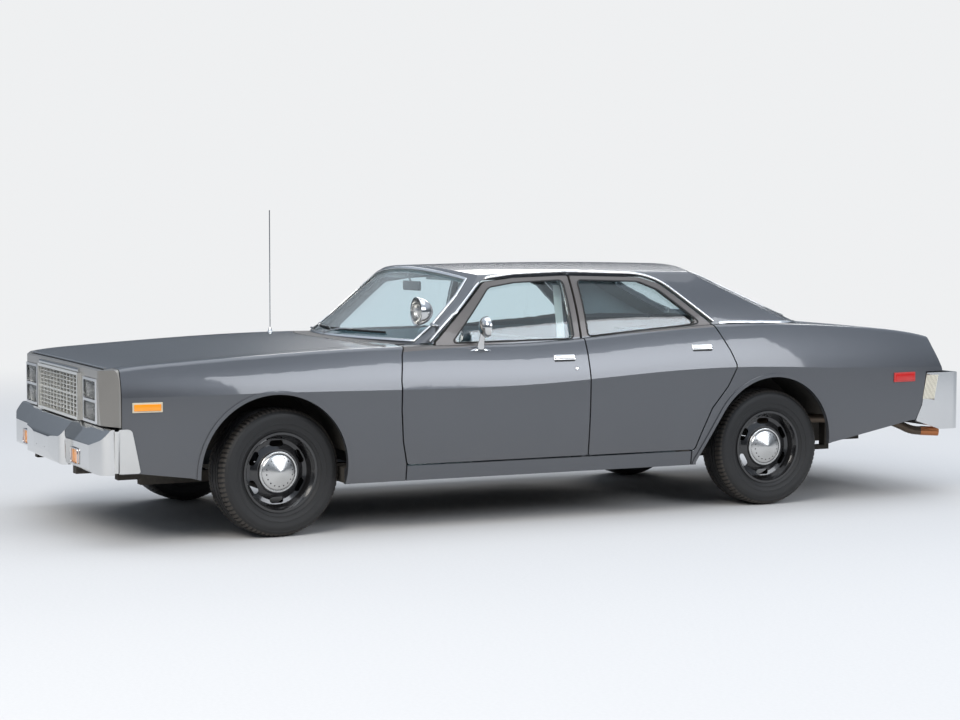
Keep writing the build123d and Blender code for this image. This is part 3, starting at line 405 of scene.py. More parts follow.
# finish and the CAD nodes that wear it
nodeFinishes = {
    "bodyPaint": ("front_fenders", "quarter_panels", "hood", "boot_lid", "rear_deck", "tail_panel"),
    # the nose panel wears the body grey with painted sunlight on it
    "nosePaintedSunlight": ("nose_panel",),
    "roofFinish": ("roof_and_pillars",),
    "doorFinish": [f"door_{corner}" for corner in corners],
    "tintedGlass": ("windscreen", "rear_window", *[f"door_glass_{corner}" for corner in corners]),
    "satinSilver": ("grille",),
    "chrome": ("headlamp_bezels", "front_bumper", "rear_bumper", "antenna", "spotlight", "mirror",
               *[f"hubcap_{corner}" for corner in corners]),
    "fillerPlastic": ("bumper_fillers",),
    "amberLens": ("turn_lamps",),
    "redLens": ("tail_lamps",),
    "lampGlass": ("headlamps",),
    "floorFinish": ("floor_and_frame",),
    "underCoat": ("inner_fenders", "fuel_tank", "front_suspension", "rear_axle_and_springs", "knuckle_left",
                  "knuckle_right"),
    "blackEnamel": ("radiator_and_support", "firewall_and_cowl"),
    "engineIron": ("engine",),
    "exhaustSteel": ("exhaust",),
    "cabinVinyl": ("dashboard", "steering_wheel", "front_seat", "rear_seat"),
    "wheelPaint": [f"wheel_{corner}" for corner in corners],
    "tyreRubber": [f"tyre_{corner}" for corner in corners],
}
for finishName, members in nodeFinishes.items():
    for member in members:
        data = cadNodes[member].data
        data.materials.clear()
        data.materials.append(finishes[finishName])
print("finishes on the panels")


# mesh helpers
def cleanMesh(data, gap=0.00002):
    work = bmesh.new()
    work.from_mesh(data)
    bmesh.ops.remove_doubles(work, verts=work.verts, dist=gap)
    bmesh.ops.dissolve_degenerate(work, edges=work.edges, dist=gap)
    bmesh.ops.recalc_face_normals(work, faces=work.faces)
    work.to_mesh(data)
    work.free()


def newPiece(name, verts, faces, clean=True):
    data = bpy.data.meshes.new(name)
    data.from_pydata([tuple(vert) for vert in verts], [], faces)
    if clean:
        cleanMesh(data)
    return addPiece(name, data)


def dress(piece, body, finish):
    piece.data.materials.clear()
    piece.data.materials.append(finishes[finish])
    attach(piece, body)
    return piece


def smoothByAngle(piece, degrees=35):
    piece.data.shade_smooth()
    piece.data.set_sharp_from_angle(angle=math.radians(degrees))


def bakeModifiers(piece):
    deps = bpy.context.evaluated_depsgraph_get()
    data = bpy.data.meshes.new_from_object(piece.evaluated_get(deps))
    piece.modifiers.clear()
    piece.data = data
    return piece


def addWall(piece, thickness):
    wall = piece.modifiers.new("wall", "SOLIDIFY")
    wall.thickness = thickness
    return bakeModifiers(piece)


def allOf(pieces):
    # the points and faces of several meshes as one list each
    verts, faces = [], []
    for piece in pieces:
        start = len(verts)
        verts += [vert.co.copy() for vert in piece.data.vertices]
        faces += [[start + index for index in face.vertices] for face in piece.data.polygons]
    return verts, faces


def joinMeshes(name, pieces):
    joined = newPiece(name, *allOf(pieces), clean=False)
    for piece in pieces:
        bpy.data.objects.remove(piece)
    smoothByAngle(joined)
    return joined


def placeOf(axes, centre):
    place = (axes or Matrix.Identity(3)).to_4x4()
    place.translation = centre
    return place


def roundedBox(name, centre, size, edge, axes=None, segments=3):
    work = bmesh.new()
    bmesh.ops.create_cube(work, size=1)
    bmesh.ops.scale(work, vec=size, verts=work.verts)
    bmesh.ops.bevel(work, geom=work.edges[:], offset=edge, segments=segments, profile=0.6, affect="EDGES")
    bmesh.ops.transform(work, matrix=placeOf(axes, centre), verts=work.verts)
    data = bpy.data.meshes.new(name)
    work.to_mesh(data)
    work.free()
    piece = addPiece(name, data)
    smoothByAngle(piece)
    return piece


def loftFaces(rings, count, start=0, ringLoop=False, pointLoop=True, caps=False):
    # quads between rings of count points each
    faces = []
    for ring in range(rings if ringLoop else rings - 1):
        here, there = start + ring * count, start + (ring + 1) % rings * count
        for step in range(count if pointLoop else count - 1):
            after = (step + 1) % count
            faces.append((here + step, here + after, there + after, there + step))
    if caps:
        faces.append([start + step for step in range(count)])
        faces.append([start + (rings - 1) * count + step for step in reversed(range(count))])
    return faces


def circle(steps):
    # cosine and sine of equal steps round a circle
    return [(math.cos(math.tau * step / steps), math.sin(math.tau * step / steps)) for step in range(steps)]


def turned(name, profile, segments, axes=None, centre=(0, 0, 0), closed=False):
    # profile of (place along the first axis, radius); radius 0 makes a pole
    place = placeOf(axes, centre)
    verts = [place @ Vector((along, radius * s, radius * c)) for c, s in circle(segments) for along, radius in profile]
    piece = newPiece(name, verts, loftFaces(segments, len(profile), ringLoop=True, pointLoop=closed))
    smoothByAngle(piece, 28)
    return piece


# places on the panels, found by casting a line on to the CAD surfaces
surfaceTrees = {}
outside = 1.4  # further out than the car's side, or higher than its hood


def castOn(names, start, way):
    if names not in surfaceTrees:
        surfaceTrees[names] = BVHTree.FromPolygons(*allOf([cadNodes[name] for name in names]))
    way = Vector(way).normalized()
    place, normal, index, distance = surfaceTrees[names].ray_cast(Vector(start), way)
    if place is not None and normal.dot(way) > 0:
        normal = -normal
    return place, normal


def castSide(name, y, z, sign):
    # a level line from the car's side towards its middle
    return castOn((name,), (sign * outside, y, z), (-sign, 0, 0))


def sideAxes(normal):
    # out of the panel, along it towards the tail, up
    out = normal.normalized()
    back = (Vector((0, 1, 0)) - out * out.y).normalized()
    return Matrix((out, back, out.cross(back) if out.x > 0 else back.cross(out))).transposed()


def neighbours(points, loop):
    return list(zip(points, points[1:] + points[:1] if loop else points[1:]))


def rounded(points, rounds=2, loop=False):
    # cuts the corners of a path of plane or space points
    points = [Vector(point) for point in points]
    for turn in range(rounds):
        cut = [part for first, second in neighbours(points, loop)
               for part in (first.lerp(second, 0.25), first.lerp(second, 0.75))]
        points = cut if loop else [points[0], *cut, points[-1]]
    return points


def filled(points, gap, loop=False):
    # adds points so that none lie further apart than gap
    points = [Vector(point) for point in points]
    result = []
    for first, second in neighbours(points, loop):
        parts = max(1, math.ceil((second - first).length / gap))
        result += [first.lerp(second, index / parts) for index in range(parts)]
    return result if loop else result + [points[-1]]


def grownPath(points, distance, loop=False):
    # moves a path of plane points sideways, to the left of its run
    result = []
    count = len(points)
    for index, point in enumerate(points):
        before = points[index - 1] if index or loop else point
        after = points[(index + 1) % count] if index < count - 1 or loop else point
        run = (after - before).normalized()
        result.append(point + Vector((-run.y, run.x)) * distance)
    return result


def between(first, last, parts):
    return [first + (last - first) * index / parts for index in range(parts + 1)]


# node trees for mouldings that follow a path and for parts that repeat
def startTree(name, ins):
    tree = bpy.data.node_groups.new(name, "GeometryNodeTree")
    sockets = {}
    for label, kind in (*ins, ("Finish", "Material")):
        socket = tree.interface.new_socket(label, in_out="INPUT", socket_type=f"NodeSocket{kind}")
        sockets[label] = socket.identifier
    tree.interface.new_socket("Mesh", in_out="OUTPUT", socket_type="NodeSocketGeometry")
    return tree, sockets, tree.nodes.new("NodeGroupInput").outputs


def endTree(tree, inn, last):
    real = addNode(tree, "GeometryNodeRealizeInstances", {"Geometry": last.outputs[0]})
    done = addNode(tree, "GeometryNodeSetMaterial", {"Geometry": real.outputs[0], "Material": inn["Finish"]})
    addNode(tree, "NodeGroupOutput", {"Mesh": done.outputs[0]})


def makeMouldingTree():
    # a rounded bar swept along a path, its face turned to the path's outward attribute
    ins = (("Path", "Geometry"), ("Width", "Float"), ("Height", "Float"), ("Edge", "Float"))
    tree, sockets, inn = startTree("moulding", ins)
    curve = addNode(tree, "GeometryNodeMeshToCurve", {"Mesh": inn["Path"]})
    outward = addNode(tree, "GeometryNodeInputNamedAttribute", {"Name": "outward"}, data_type="FLOAT_VECTOR")
    facing = {"Curve": curve.outputs[0], "Normal": outward.outputs["Attribute"]}
    path = addNode(tree, "GeometryNodeSetCurveNormal", facing, mode="FREE")
    size = {"Width": inn["Height"], "Height": inn["Width"]}
    shape = addNode(tree, "GeometryNodeCurvePrimitiveQuadrilateral", size)
    soft = {"Curve": shape.outputs[0], "Radius": inn["Edge"], "Count": 3}
    fillet = addNode(tree, "GeometryNodeFilletCurve", soft, mode="POLY")
    run = {"Curve": path.outputs[0], "Profile Curve": fillet.outputs[0], "Fill Caps": True}
    endTree(tree, inn, addNode(tree, "GeometryNodeCurveToMesh", run))
    return tree, sockets


def makeRepeatTree():
    # copies of a part, each shifted and turned about X by one more step
    ins = (("Part", "Geometry"), ("Count", "Int"), ("Shift", "Vector"), ("Turn", "Float"))
    tree, sockets, inn = startTree("repeatParts", ins)
    index = addNode(tree, "GeometryNodeInputIndex").outputs[0]
    points = addNode(tree, "GeometryNodePoints", {"Count": inn["Count"]})
    shift = addNode(tree, "ShaderNodeVectorMath", {0: inn["Shift"], "Scale": index}, operation="SCALE")
    turn = addNode(tree, "ShaderNodeCombineXYZ", {"X": mathNode(tree, "MULTIPLY", index, inn["Turn"])})
    rotate = addNode(tree, "FunctionNodeEulerToRotation", {0: turn.outputs[0]})
    spots = {"Geometry": points.outputs[0], "Offset": shift.outputs["Vector"]}
    move = addNode(tree, "GeometryNodeSetPosition", spots)
    copies = {"Points": move.outputs[0], "Instance": inn["Part"], "Rotation": rotate.outputs[0]}
    endTree(tree, inn, addNode(tree, "GeometryNodeInstanceOnPoints", copies))
    return tree, sockets


mouldingTree, mouldingSockets = makeMouldingTree()
repeatTree, repeatSockets = makeRepeatTree()


def runTree(piece, tree, sockets, finish, **values):
    modifier = piece.modifiers.new(tree.name, "NODES")
    modifier.node_group = tree
    for label, value in {**values, "Finish": finishes[finish]}.items():
        modifier[sockets[label]] = value
    return bakeModifiers(piece)


def sweptBar(name, hits, width, height, edge, finish, loop=False, rise=0.0):
    # hits are (place, outward) pairs; the bar stands on them
    count = len(hits)
    joints = [(index, (index + 1) % count) for index in range(count if loop else count - 1)]
    data = bpy.data.meshes.new(name)
    data.from_pydata([place + outward * (height / 2 + rise) for place, outward in hits], joints, [])
    store = data.attributes.new("outward", "FLOAT_VECTOR", "POINT")
    for index, (place, outward) in enumerate(hits):
        store.data[index].vector = outward
    piece = addPiece(name, data)
    return runTree(piece, mouldingTree, mouldingSockets, finish, Width=width, Height=height, Edge=edge)


def moulding(name, hits, width, height, body, finish, edge=None, loop=False, rise=0.0):
    # a strip on a panel, height proud of it
    hits = [hit for hit in hits if hit[0] is not None]
    piece = sweptBar(name, hits, width, height, edge or 0.45 * min(width, height), finish, loop, rise)
    cleanMesh(piece.data)
    smoothByAngle(piece, 50)
    return dress(piece, body, finish)


def tube(name, points, radius, body, finish):
    line = filled(rounded(points), 0.02)
    hits = []
    for index, point in enumerate(line):
        run = (line[min(index + 1, len(line) - 1)] - line[max(index - 1, 0)]).normalized()
        hits.append((point, run.cross(Vector((0, 0, 1)) if abs(run.z) < 0.9 else Vector((1, 0, 0))).normalized()))
    return moulding(name, hits, radius * 2, radius * 2, body, finish, edge=radius * 0.98, rise=-radius)


def repeated(piece, count, shift, turn, finish):
    return runTree(piece, repeatTree, repeatSockets, finish, Count=count, Shift=shift, Turn=turn)


# tyres with ribs and shoulder blocks, hubcaps with a ring of holes
tyreValues = {
    "segments": 96,
    "blocks": 80,
    "blockRadius": 0.327,
    "blockShare": 0.66,
    "blockSlant": 0.006,
    # half of the section: along the axle, radius
    "section": (
        (0.077, 0.1965), (0.086, 0.208), (0.093, 0.222), (0.0962, 0.227), (0.099, 0.2285), (0.099, 0.2315),
        (0.0998, 0.239), (0.104, 0.253), (0.1062, 0.2545), (0.1062, 0.257), (0.1075, 0.268), (0.11, 0.281),
        (0.1104, 0.288), (0.1088, 0.298), (0.1072, 0.304), (0.1078, 0.3055), (0.106, 0.3085), (0.102, 0.316),
        (0.0955, 0.322), (0.088, 0.3258), (0.072, 0.3278), (0.048, 0.3282), (0.043, 0.3285), (0.0425, 0.3342),
        (0.0225, 0.3345), (0.022, 0.3285), (0.016, 0.3285), (0.0155, 0.3347), (0.0, 0.3348),
    ),
    # a shoulder block's outline: along the axle, radius
    "block": ((0.05, 0.3262), (0.05, 0.3338), (0.069, 0.3328), (0.084, 0.33), (0.0945, 0.3258),
              (0.1015, 0.3185), (0.0985, 0.3165), (0.086, 0.324)),
}
capValues = {
    "segments": 144,
    "holes": 18,
    "holeRow": (0.0776, 0.0704),
    "holeShare": 0.26,
    "wall": 0.0009,
    # from the rolled rim inwards: along the axle, radius
    "section": (
        (0.05, 0.1), (0.0505, 0.1055), (0.053, 0.1083), (0.0565, 0.109), (0.06, 0.1078), (0.0625, 0.105),
        (0.0632, 0.1015), (0.0622, 0.0985), (0.0624, 0.0965), (0.065, 0.0945), (0.0682, 0.0915), (0.0705, 0.087),
        (0.0724, 0.082), (0.0742, 0.0772), (0.0763, 0.0708), (0.0791, 0.063), (0.0826, 0.052), (0.0862, 0.04),
        (0.09, 0.027), (0.0933, 0.015), (0.0952, 0.006), (0.0957, 0.0),
    ),
}


def wheelAxes(corner, sign):
    joint = next(j for j in frame["joints"] if j["name"] == f"spin_{corner}")
    out = Vector(joint["axis"]).normalized() * sign
    up = Vector((0, 0, 1))
    return Matrix((out, up.cross(out), up)).transposed(), Vector(joint["pos_m"])


def makeTyre(corner, sign, v):
    axes, centre = wheelAxes(corner, sign)
    half = list(v["section"])
    section = half + [(-along, radius) for along, radius in reversed(half[:-1])]
    tyre = turned(f"tyreBody_{corner}", section, v["segments"], axes, centre, closed=True)
    pitch = math.tau / v["blocks"]
    halfWidth = pitch * v["blockRadius"] * v["blockShare"] / 2
    inner, count = v["block"][0][0], len(v["block"])
    verts, faces = [], []
    for turn in (1, -1):
        faces += loftFaces(2, count, len(verts), caps=True)
        for edge in (-halfWidth, halfWidth):
            for along, radius in v["block"]:
                lean = v["blockSlant"] * (along - inner) / inner
                verts.append((turn * along, turn * (edge + lean), radius))
    blocks = newPiece(f"tyreBlocks_{corner}", verts, faces)
    # the blocks are lighter, browner rubber than the grooves: partly dust, partly painted light on the tread
    repeated(blocks, v["blocks"], (0, 0, 0), pitch, "tyreTreadDustAndLight")
    blocks.data.transform(placeOf(axes, centre))
    dress(blocks, f"road_wheel_{corner}", "tyreTreadDustAndLight")
    dress(tyre, f"road_wheel_{corner}", "tyreRubber")
    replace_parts(tyre, f"tyre_{corner}")


def makeCap(corner, sign, v):
    axes, centre = wheelAxes(corner, sign)
    cap = turned(f"hubcapCone_{corner}", v["section"], v["segments"], axes, centre)
    work = bmesh.new()
    work.from_mesh(cap.data)
    outer, inner = v["holeRow"]
    share = math.tau / v["holes"]
    gone = []
    for face in work.faces:
        local = axes.transposed() @ (face.calc_center_median() - centre)
        spot = (math.atan2(local.y, local.z) % share) / share
        if inner < math.hypot(local.y, local.z) < outer and spot < v["holeShare"]:
            gone.append(face)
    bmesh.ops.delete(work, geom=gone, context="FACES")
    if sum(face.normal.dot(axes.col[0]) * face.calc_area() for face in work.faces) < 0:
        bmesh.ops.reverse_faces(work, faces=work.faces)
    work.to_mesh(cap.data)
    work.free()
    addWall(cap, v["wall"])
    smoothByAngle(cap, 40)
    dress(cap, f"road_wheel_{corner}", "capSteel")
    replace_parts(cap, f"hubcap_{corner}")


for end in ends:
    for side, sign in sides:
        makeTyre(f"{end}_{side}", sign, tyreValues)
        makeCap(f"{end}_{side}", sign, capValues)
print("tyres and hubcaps made")


# bright trim along the roof, glass and belt
trimValues = {
    "dripWidth": 0.015, "dripHeight": 0.013, "dripOffset": 0.019,
    "screenWidth": 0.019, "screenHeight": 0.007, "screenOffset": 0.008,
    "sealWidth": 0.008, "sealHeight": 0.004, "sealOffset": 0.0035,
    "pillarWidth": 0.017, "pillarHeight": 0.006, "pillarRun": (0.975, 1.625),
    "lipWidth": 0.014, "lipHeight": 0.008, "lipHalf": 0.76, "lipPlace": -2.567,
    # y, z along the top of the door openings, front to rear
    "dripLine": ((-0.812, 0.972), (-0.8, 0.985), (-0.45, 1.3), (-0.262, 1.321), (0.068, 1.331), (0.52, 1.318),
                 (0.64, 1.28), (0.925, 1.05)),
    "front": ((-0.7, 0.984), (-0.43, 1.268), (-0.27, 1.292), (0.027, 1.304), (0.027, 0.992)),
    "rear": ((0.123, 1.002), (0.123, 1.303), (0.505, 1.291), (0.62, 1.245), (0.846, 1.062), (0.8, 1.054)),
}
# foot, head, and the opening's half widths and heights along the slope, as the CAD glass has them
glassValues = {
    "windscreen": dict(foot=(-1.085, 0.978), head=(-0.585, 1.378), footHalf=0.772, footSide=0.185, footMid=0.03,
                       headHalf=0.668, headSide=0.644, headMid=0.612,
                       on=("roof_and_pillars", "firewall_and_cowl", "front_fenders", "hood")),
    "rearGlass": dict(foot=(1.83, 1.046), head=(1.01, 1.384), footHalf=0.655, footSide=0.3, footMid=0.095,
                      headHalf=0.575, headSide=0.79, headMid=0.798, on=("roof_and_pillars", "rear_deck")),
}


def slopePoint(v, across, up):
    foot = Vector(v["foot"])
    slope = (Vector(v["head"]) - foot).normalized()
    place = foot + slope * up
    normal = Vector((-slope.y, slope.x)) if slope.x > 0 else Vector((slope.y, -slope.x))
    return Vector((across, place.x, place.y)), Vector((0, normal.x, normal.y))


def arched(v, edge, part):
    # height of the glass's foot or head along the slope, part of the way to its side
    return v[f"{edge}Mid"] + (v[f"{edge}Side"] - v[f"{edge}Mid"]) * part * part


def makeGlassTrim(name, v, t):
    arcs = [Vector((way * part * v[f"{edge}Half"], arched(v, edge, part)))
            for edge, way in (("foot", 1), ("head", -1)) for part in between(-1, 1, 16)]
    line = filled(rounded(arcs, 1, True), 0.03, True)
    hits = []
    for point in grownPath(line, -t["screenOffset"], True):
        place, normal = slopePoint(v, point.x, point.y)
        hits.append(castOn(v["on"], place + normal * 0.5, -normal))
    moulding(f"{name}Surround", hits, t["screenWidth"], t["screenHeight"], "body", "brightTrim", loop=True)


def seamHit(y, sign):
    # the foot of the sail panel, where it rises out of the quarter panel
    for step in range(60):
        z = 1.0 + step * 0.002
        panel = castSide("quarter_panels", y, z, sign)[0]
        roof = castSide("roof_and_pillars", y, z, sign)[0]
        if roof is not None and roof.x * sign > 0.3 and (panel is None or panel.x * sign < roof.x * sign):
            return castSide("roof_and_pillars", y, z + 0.006, sign)
    return None, None


def sideTrim(side, sign, t):
    line = grownPath(filled(rounded(filled(t["dripLine"], 0.16), 3), 0.03), t["dripOffset"])
    hits = [castSide("roof_and_pillars", point.x, point.y, sign) for point in line]
    moulding(f"dripRail_{side}", hits, t["dripWidth"], t["dripHeight"], "body", "brightTrim")
    for end in ends:
        door = f"door_{end}_{side}"
        window = filled(rounded(filled(t[end], 0.06, True), 2, True), 0.025, True)
        hits = [castSide(door, point.x, point.y, sign) for point in grownPath(window, t["sealOffset"], True)]
        moulding(f"windowSeal_{end}_{side}", hits, t["sealWidth"], t["sealHeight"], f"{door}_leaf",
                 "sealRubber", loop=True)
    hits = [seamHit(y, sign) for y in between(*t["pillarRun"], 20)]
    moulding(f"pillarTrim_{side}", hits, t["pillarWidth"], t["pillarHeight"], "body", "brightTrim")


def makeHoodLip(t):
    steps = between(-t["lipHalf"], t["lipHalf"], 24)
    hits = [castOn(("hood",), (x, t["lipPlace"], outside), (0, 0, -1)) for x in steps]
    moulding("hoodLip", hits, t["lipWidth"], t["lipHeight"], "hood_leaf", "brightTrim")


for glassName, glassShape in glassValues.items():
    makeGlassTrim(glassName, glassShape, trimValues)
for side, sign in sides:
    sideTrim(side, sign, trimValues)
makeHoodLip(trimValues)
print("bright trim made")


# grille: fine bright uprights over the bars, a bar across its head, and the strips beside the bumper
grilleValues = {
    "foot": 0.628, "head": 0.832, "face": -2.6235,
    "uprights": 11, "uprightPitch": 0.0717, "uprightSize": (0.006, 0.005),
    "barHeight": 0.862, "barHalf": 0.425, "barWidth": 0.021, "barThick": 0.012,
    "stripPlace": -2.5625, "stripWidth": 0.022, "stripThick": 0.01, "stripSpan": (0.382, 0.59),
    "stripBack": 0.018, "stripSunk": 0.004,
}


def makeGrille(v):
    wide, deep = v["uprightSize"]
    centre = (-v["uprightPitch"] * (v["uprights"] - 1) / 2, v["face"], (v["head"] + v["foot"]) / 2)
    upright = roundedBox("grilleUprights", centre, (wide, deep, v["head"] - v["foot"]), 0.0015)
    repeated(upright, v["uprights"], (v["uprightPitch"], 0, 0), 0.0, "satinSilver")
    dress(upright, "body", "satinSilver")
    steps = between(-v["barHalf"], v["barHalf"], 16)
    hits = [castOn(("nose_panel", "grille"), (x, -3.2, v["barHeight"]), (0, 1, 0)) for x in steps]
    moulding("grilleHeadBar", hits, v["barWidth"], v["barThick"], "body", "chrome")


def makeFillerStrip(side, sign, v):
    hits = []
    for z in between(*v["stripSpan"], 12):
        place, normal = castSide("bumper_fillers", v["stripPlace"] + v["stripBack"], z, sign)
        if place is not None:
            hits.append((place - Vector((sign * v["stripSunk"], v["stripBack"], 0)), normal))
    moulding(f"fillerStrip_{side}", hits, v["stripWidth"], v["stripThick"], "body", "fillerPlastic")


makeGrille(grilleValues)
for side, sign in sides:
    makeFillerStrip(side, sign, grilleValues)
print("grille mesh made")


# handles, locks and side markers
handleValues = {
    # each part's size: out of the door, along it, up; the dark strip below the plate is painted shadow under the handle
    "plate": (0.005, 0.129, 0.029), "paintedShadow": (0.0045, 0.121, 0.014), "paddle": (0.016, 0.123, 0.024),
    "front": (-0.072, 0.889), "rear": (0.8, 0.925), "lock": (-0.004, 0.832), "lockRadius": 0.0105,
    # the lock's section: out of the door, share of its radius
    "lockShape": ((-0.002, 1), (0.002, 1), (0.0035, 0.85), (0.003, 0.62), (0.0045, 0.5), (0.005, 0)),
}
markerValues = {
    "border": 0.012, "lens": 0.0176, "rim": 0.008,
    # name, y from, y to, z from, z to, panel, slot, finish, finish of the border
    "places": (
        ("frontMarker", -2.482, -2.33, 0.679, 0.729, "front_fenders", "amber_lens", "amberLens", "paleBorder"),
        ("rearMarker", 2.116, 2.276, 0.69, 0.746, "quarter_panels", "red_lens", "redLens", "redBorder"),
    ),
}


def makeHandle(end, side, sign, v):
    door = f"door_{end}_{side}"
    place, normal = castSide(door, *v[end], sign)
    axes = sideAxes(normal)
    thick = v["plate"][0]
    # name, size, place out of the door and up, rounding, segments, slot, finish
    for name, size, out, up, edge, segments, slot, finish in (
        ("handlePlate", v["plate"], thick / 3, 0.005, 0.0022, 3, "chrome", "chrome"),
        # a black strip along the plate's lower edge: painted shadow beneath the handle
        ("handlePaintedShadow", v["paintedShadow"], thick * 0.3, -0.0125, 0.0018, 3, "underbody_black", "blackEnamel"),
        ("handlePaddle", v["paddle"], thick * 0.9, 0.0055, 0.006, 5, "chrome", "chrome"),
    ):
        centre = place + axes.col[0] * out + axes.col[2] * up
        dress(roundedBox(f"{name}_{end}_{side}", centre, size, edge, axes, segments), f"{door}_leaf", finish)
    if end == "front":
        place, normal = castSide(door, *v["lock"], sign)
        section = [(out, share * v["lockRadius"]) for out, share in v["lockShape"]]
        lock = turned(f"doorLock_{side}", section, 24, sideAxes(normal), place)
        dress(lock, f"{door}_leaf", "chrome")


def makeMarkers(v):
    for name, y0, y1, z0, z1, panel, slot, finish, edging in v["places"]:
        for side, sign in sides:
            place, normal = castSide(panel, (y0 + y1) / 2, (z0 + z1) / 2, sign)
            axes = sideAxes(normal)
            out = axes.col[0]
            long, high = y1 - y0, z1 - z0
            border = roundedBox(f"{name}Border_{side}", place + out * 0.001, (v["border"], long, high), 0.003, axes)
            dress(border, "body", edging)
            size = (v["lens"], long - 2 * v["rim"], high - 2 * v["rim"])
            dress(roundedBox(f"{name}Lens_{side}", place + out * 0.003, size, 0.004, axes), "body", finish)


for end in ends:
    for side, sign in sides:
        makeHandle(end, side, sign, handleValues)
makeMarkers(markerValues)
print("handles and markers made")


# lamps: bowls behind ribbed lenses, bright rims round the small ones
alongY = Matrix(((0, 1, 0), (1, 0, 0), (0, 0, 1)))
lampValues = {
    "lensThick": 0.0045, "lensInner": 0.5143, "halfGap": 0.0073,
    "bowlGap": 0.005, "bowlDepth": 0.026, "bowlWall": 0.0008, "bowlFit": (0.985, 0.97), "rings": 9, "around": 40,
    "bulb": ((-0.013, 0), (-0.012, 0.005), (-0.008, 0.009), (0.0, 0.011), (0.008, 0.011)),
    "rimWidth": 0.007, "rimHeight": 0.006, "rimEdge": 0.008,
    # CAD node, name, way out, inner edge, place along the car
    "rims": (("turn_lamps", "turnRim", -1, 0.47, -2.6685), ("tail_lamps", "tailRim", 1, 0.42, 2.5005)),
}


def lampBowl(centre, halfX, halfZ, v):
    # round at its middle and squarer towards its rim
    rings, around = v["rings"], v["around"]
    back = centre.y + v["bowlGap"]
    verts = [(centre.x, back + v["bowlDepth"] - 0.001, centre.z)]
    for size in between(0, 1, rings)[1:]:
        squareness = 2 / (2 + 6 * size)
        for c, s in circle(around):
            x = math.copysign(abs(c) ** squareness, c) * halfX * size * v["bowlFit"][0]
            z = math.copysign(abs(s) ** squareness, s) * halfZ * size * v["bowlFit"][1]
            verts.append((centre.x + x, back + v["bowlDepth"] * (1 - size * size), centre.z + z))
    faces = [(0, 1 + step, 1 + (step + 1) % around) for step in range(around)]
    faces += [face[::-1] for face in loftFaces(rings, around, 1)]
    return addWall(newPiece("bowl", verts, faces, clean=False), v["bowlWall"])


def makeHeadlamps(v):
    low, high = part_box("headlamps")
    bezelLow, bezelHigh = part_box("headlamp_bezels")
    middle = (bezelLow[2] + bezelHigh[2]) / 2
    lenses, bowls = [], []
    for side, sign in sides:
        x0, x1 = sorted((sign * v["lensInner"], sign * high[0]))
        for z0, z1 in ((low[2], middle - v["halfGap"]), (middle + v["halfGap"], high[2])):
            centre = Vector(((x0 + x1) / 2, low[1], (z0 + z1) / 2))
            size = (x1 - x0, v["lensThick"], z1 - z0)
            face = centre + Vector((0, v["lensThick"] / 2, 0))
            lenses.append(roundedBox("lens", face, size, 0.0019, None, 2))
            bowls.append(lampBowl(centre, (x1 - x0) / 2, (z1 - z0) / 2, v))
            bowls.append(turned("bulb", v["bulb"], 20, alongY, centre + Vector((0, 0.022, 0))))
    lens = dress(joinMeshes("headlampLenses", lenses), "body", "lampGlass")
    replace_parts(lens, "headlamps")
    dress(joinMeshes("headlampBowls", bowls), "body", "lampBowl")


def makeLampRims(v):
    grow = v["rimWidth"] * 0.4
    for node, name, way, inner, y in v["rims"]:
        low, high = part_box(node)
        for side, sign in sides:
            x0, x1 = sign * (inner - grow), sign * (high[0] + grow)
            z0, z1 = low[2] - grow, high[2] + grow
            line = []
            edges = [Vector((x, y, z)) for x, z in ((x0, z0), (x1, z0), (x1, z1), (x0, z1))]
            for first, second in neighbours(edges, True):
                run = (second - first).normalized() * v["rimEdge"]
                line += [first + run, first.lerp(second, 0.5), second - run]
            hits = [(point, Vector((0, way, 0))) for point in rounded(line, 1, True)]
            moulding(f"{name}_{side}", hits, v["rimWidth"], v["rimHeight"], "body", "brightTrim", loop=True,
                     rise=-0.001)


makeHeadlamps(lampValues)
makeLampRims(lampValues)
print("lamps made")


# mirror, spotlight and aerial foot
mirrorValues = {
    "centre": (0.962, -0.56, 1.068), "segments": 56,
    "shell": ((-0.0215, 0), (-0.021, 0.012), (-0.0185, 0.028), (-0.0135, 0.041), (-0.006, 0.05), (0.004, 0.0552),
              (0.014, 0.0568), (0.0195, 0.0569), (0.0215, 0.0555), (0.0212, 0.053), (0.019, 0.0522), (0.0175, 0.05)),
    "glass": ((0.016, 0.0505), (0.0178, 0.0505), (0.0186, 0.03), (0.0189, 0.012), (0.019, 0)),
    # up, half width across the car, half width along it, shift outwards
    "post": ((0.936, 0.013, 0.064, 0.0), (0.942, 0.013, 0.064, 0.0), (0.946, 0.011, 0.05, 0.001),
             (0.952, 0.01, 0.028, 0.003), (0.966, 0.01, 0.021, 0.007), (0.99, 0.009, 0.018, 0.016),
             (1.012, 0.009, 0.017, 0.026), (1.03, 0.008, 0.016, 0.033)),
    "postRoot": (0.925, -0.565), "postSteps": 28,
}
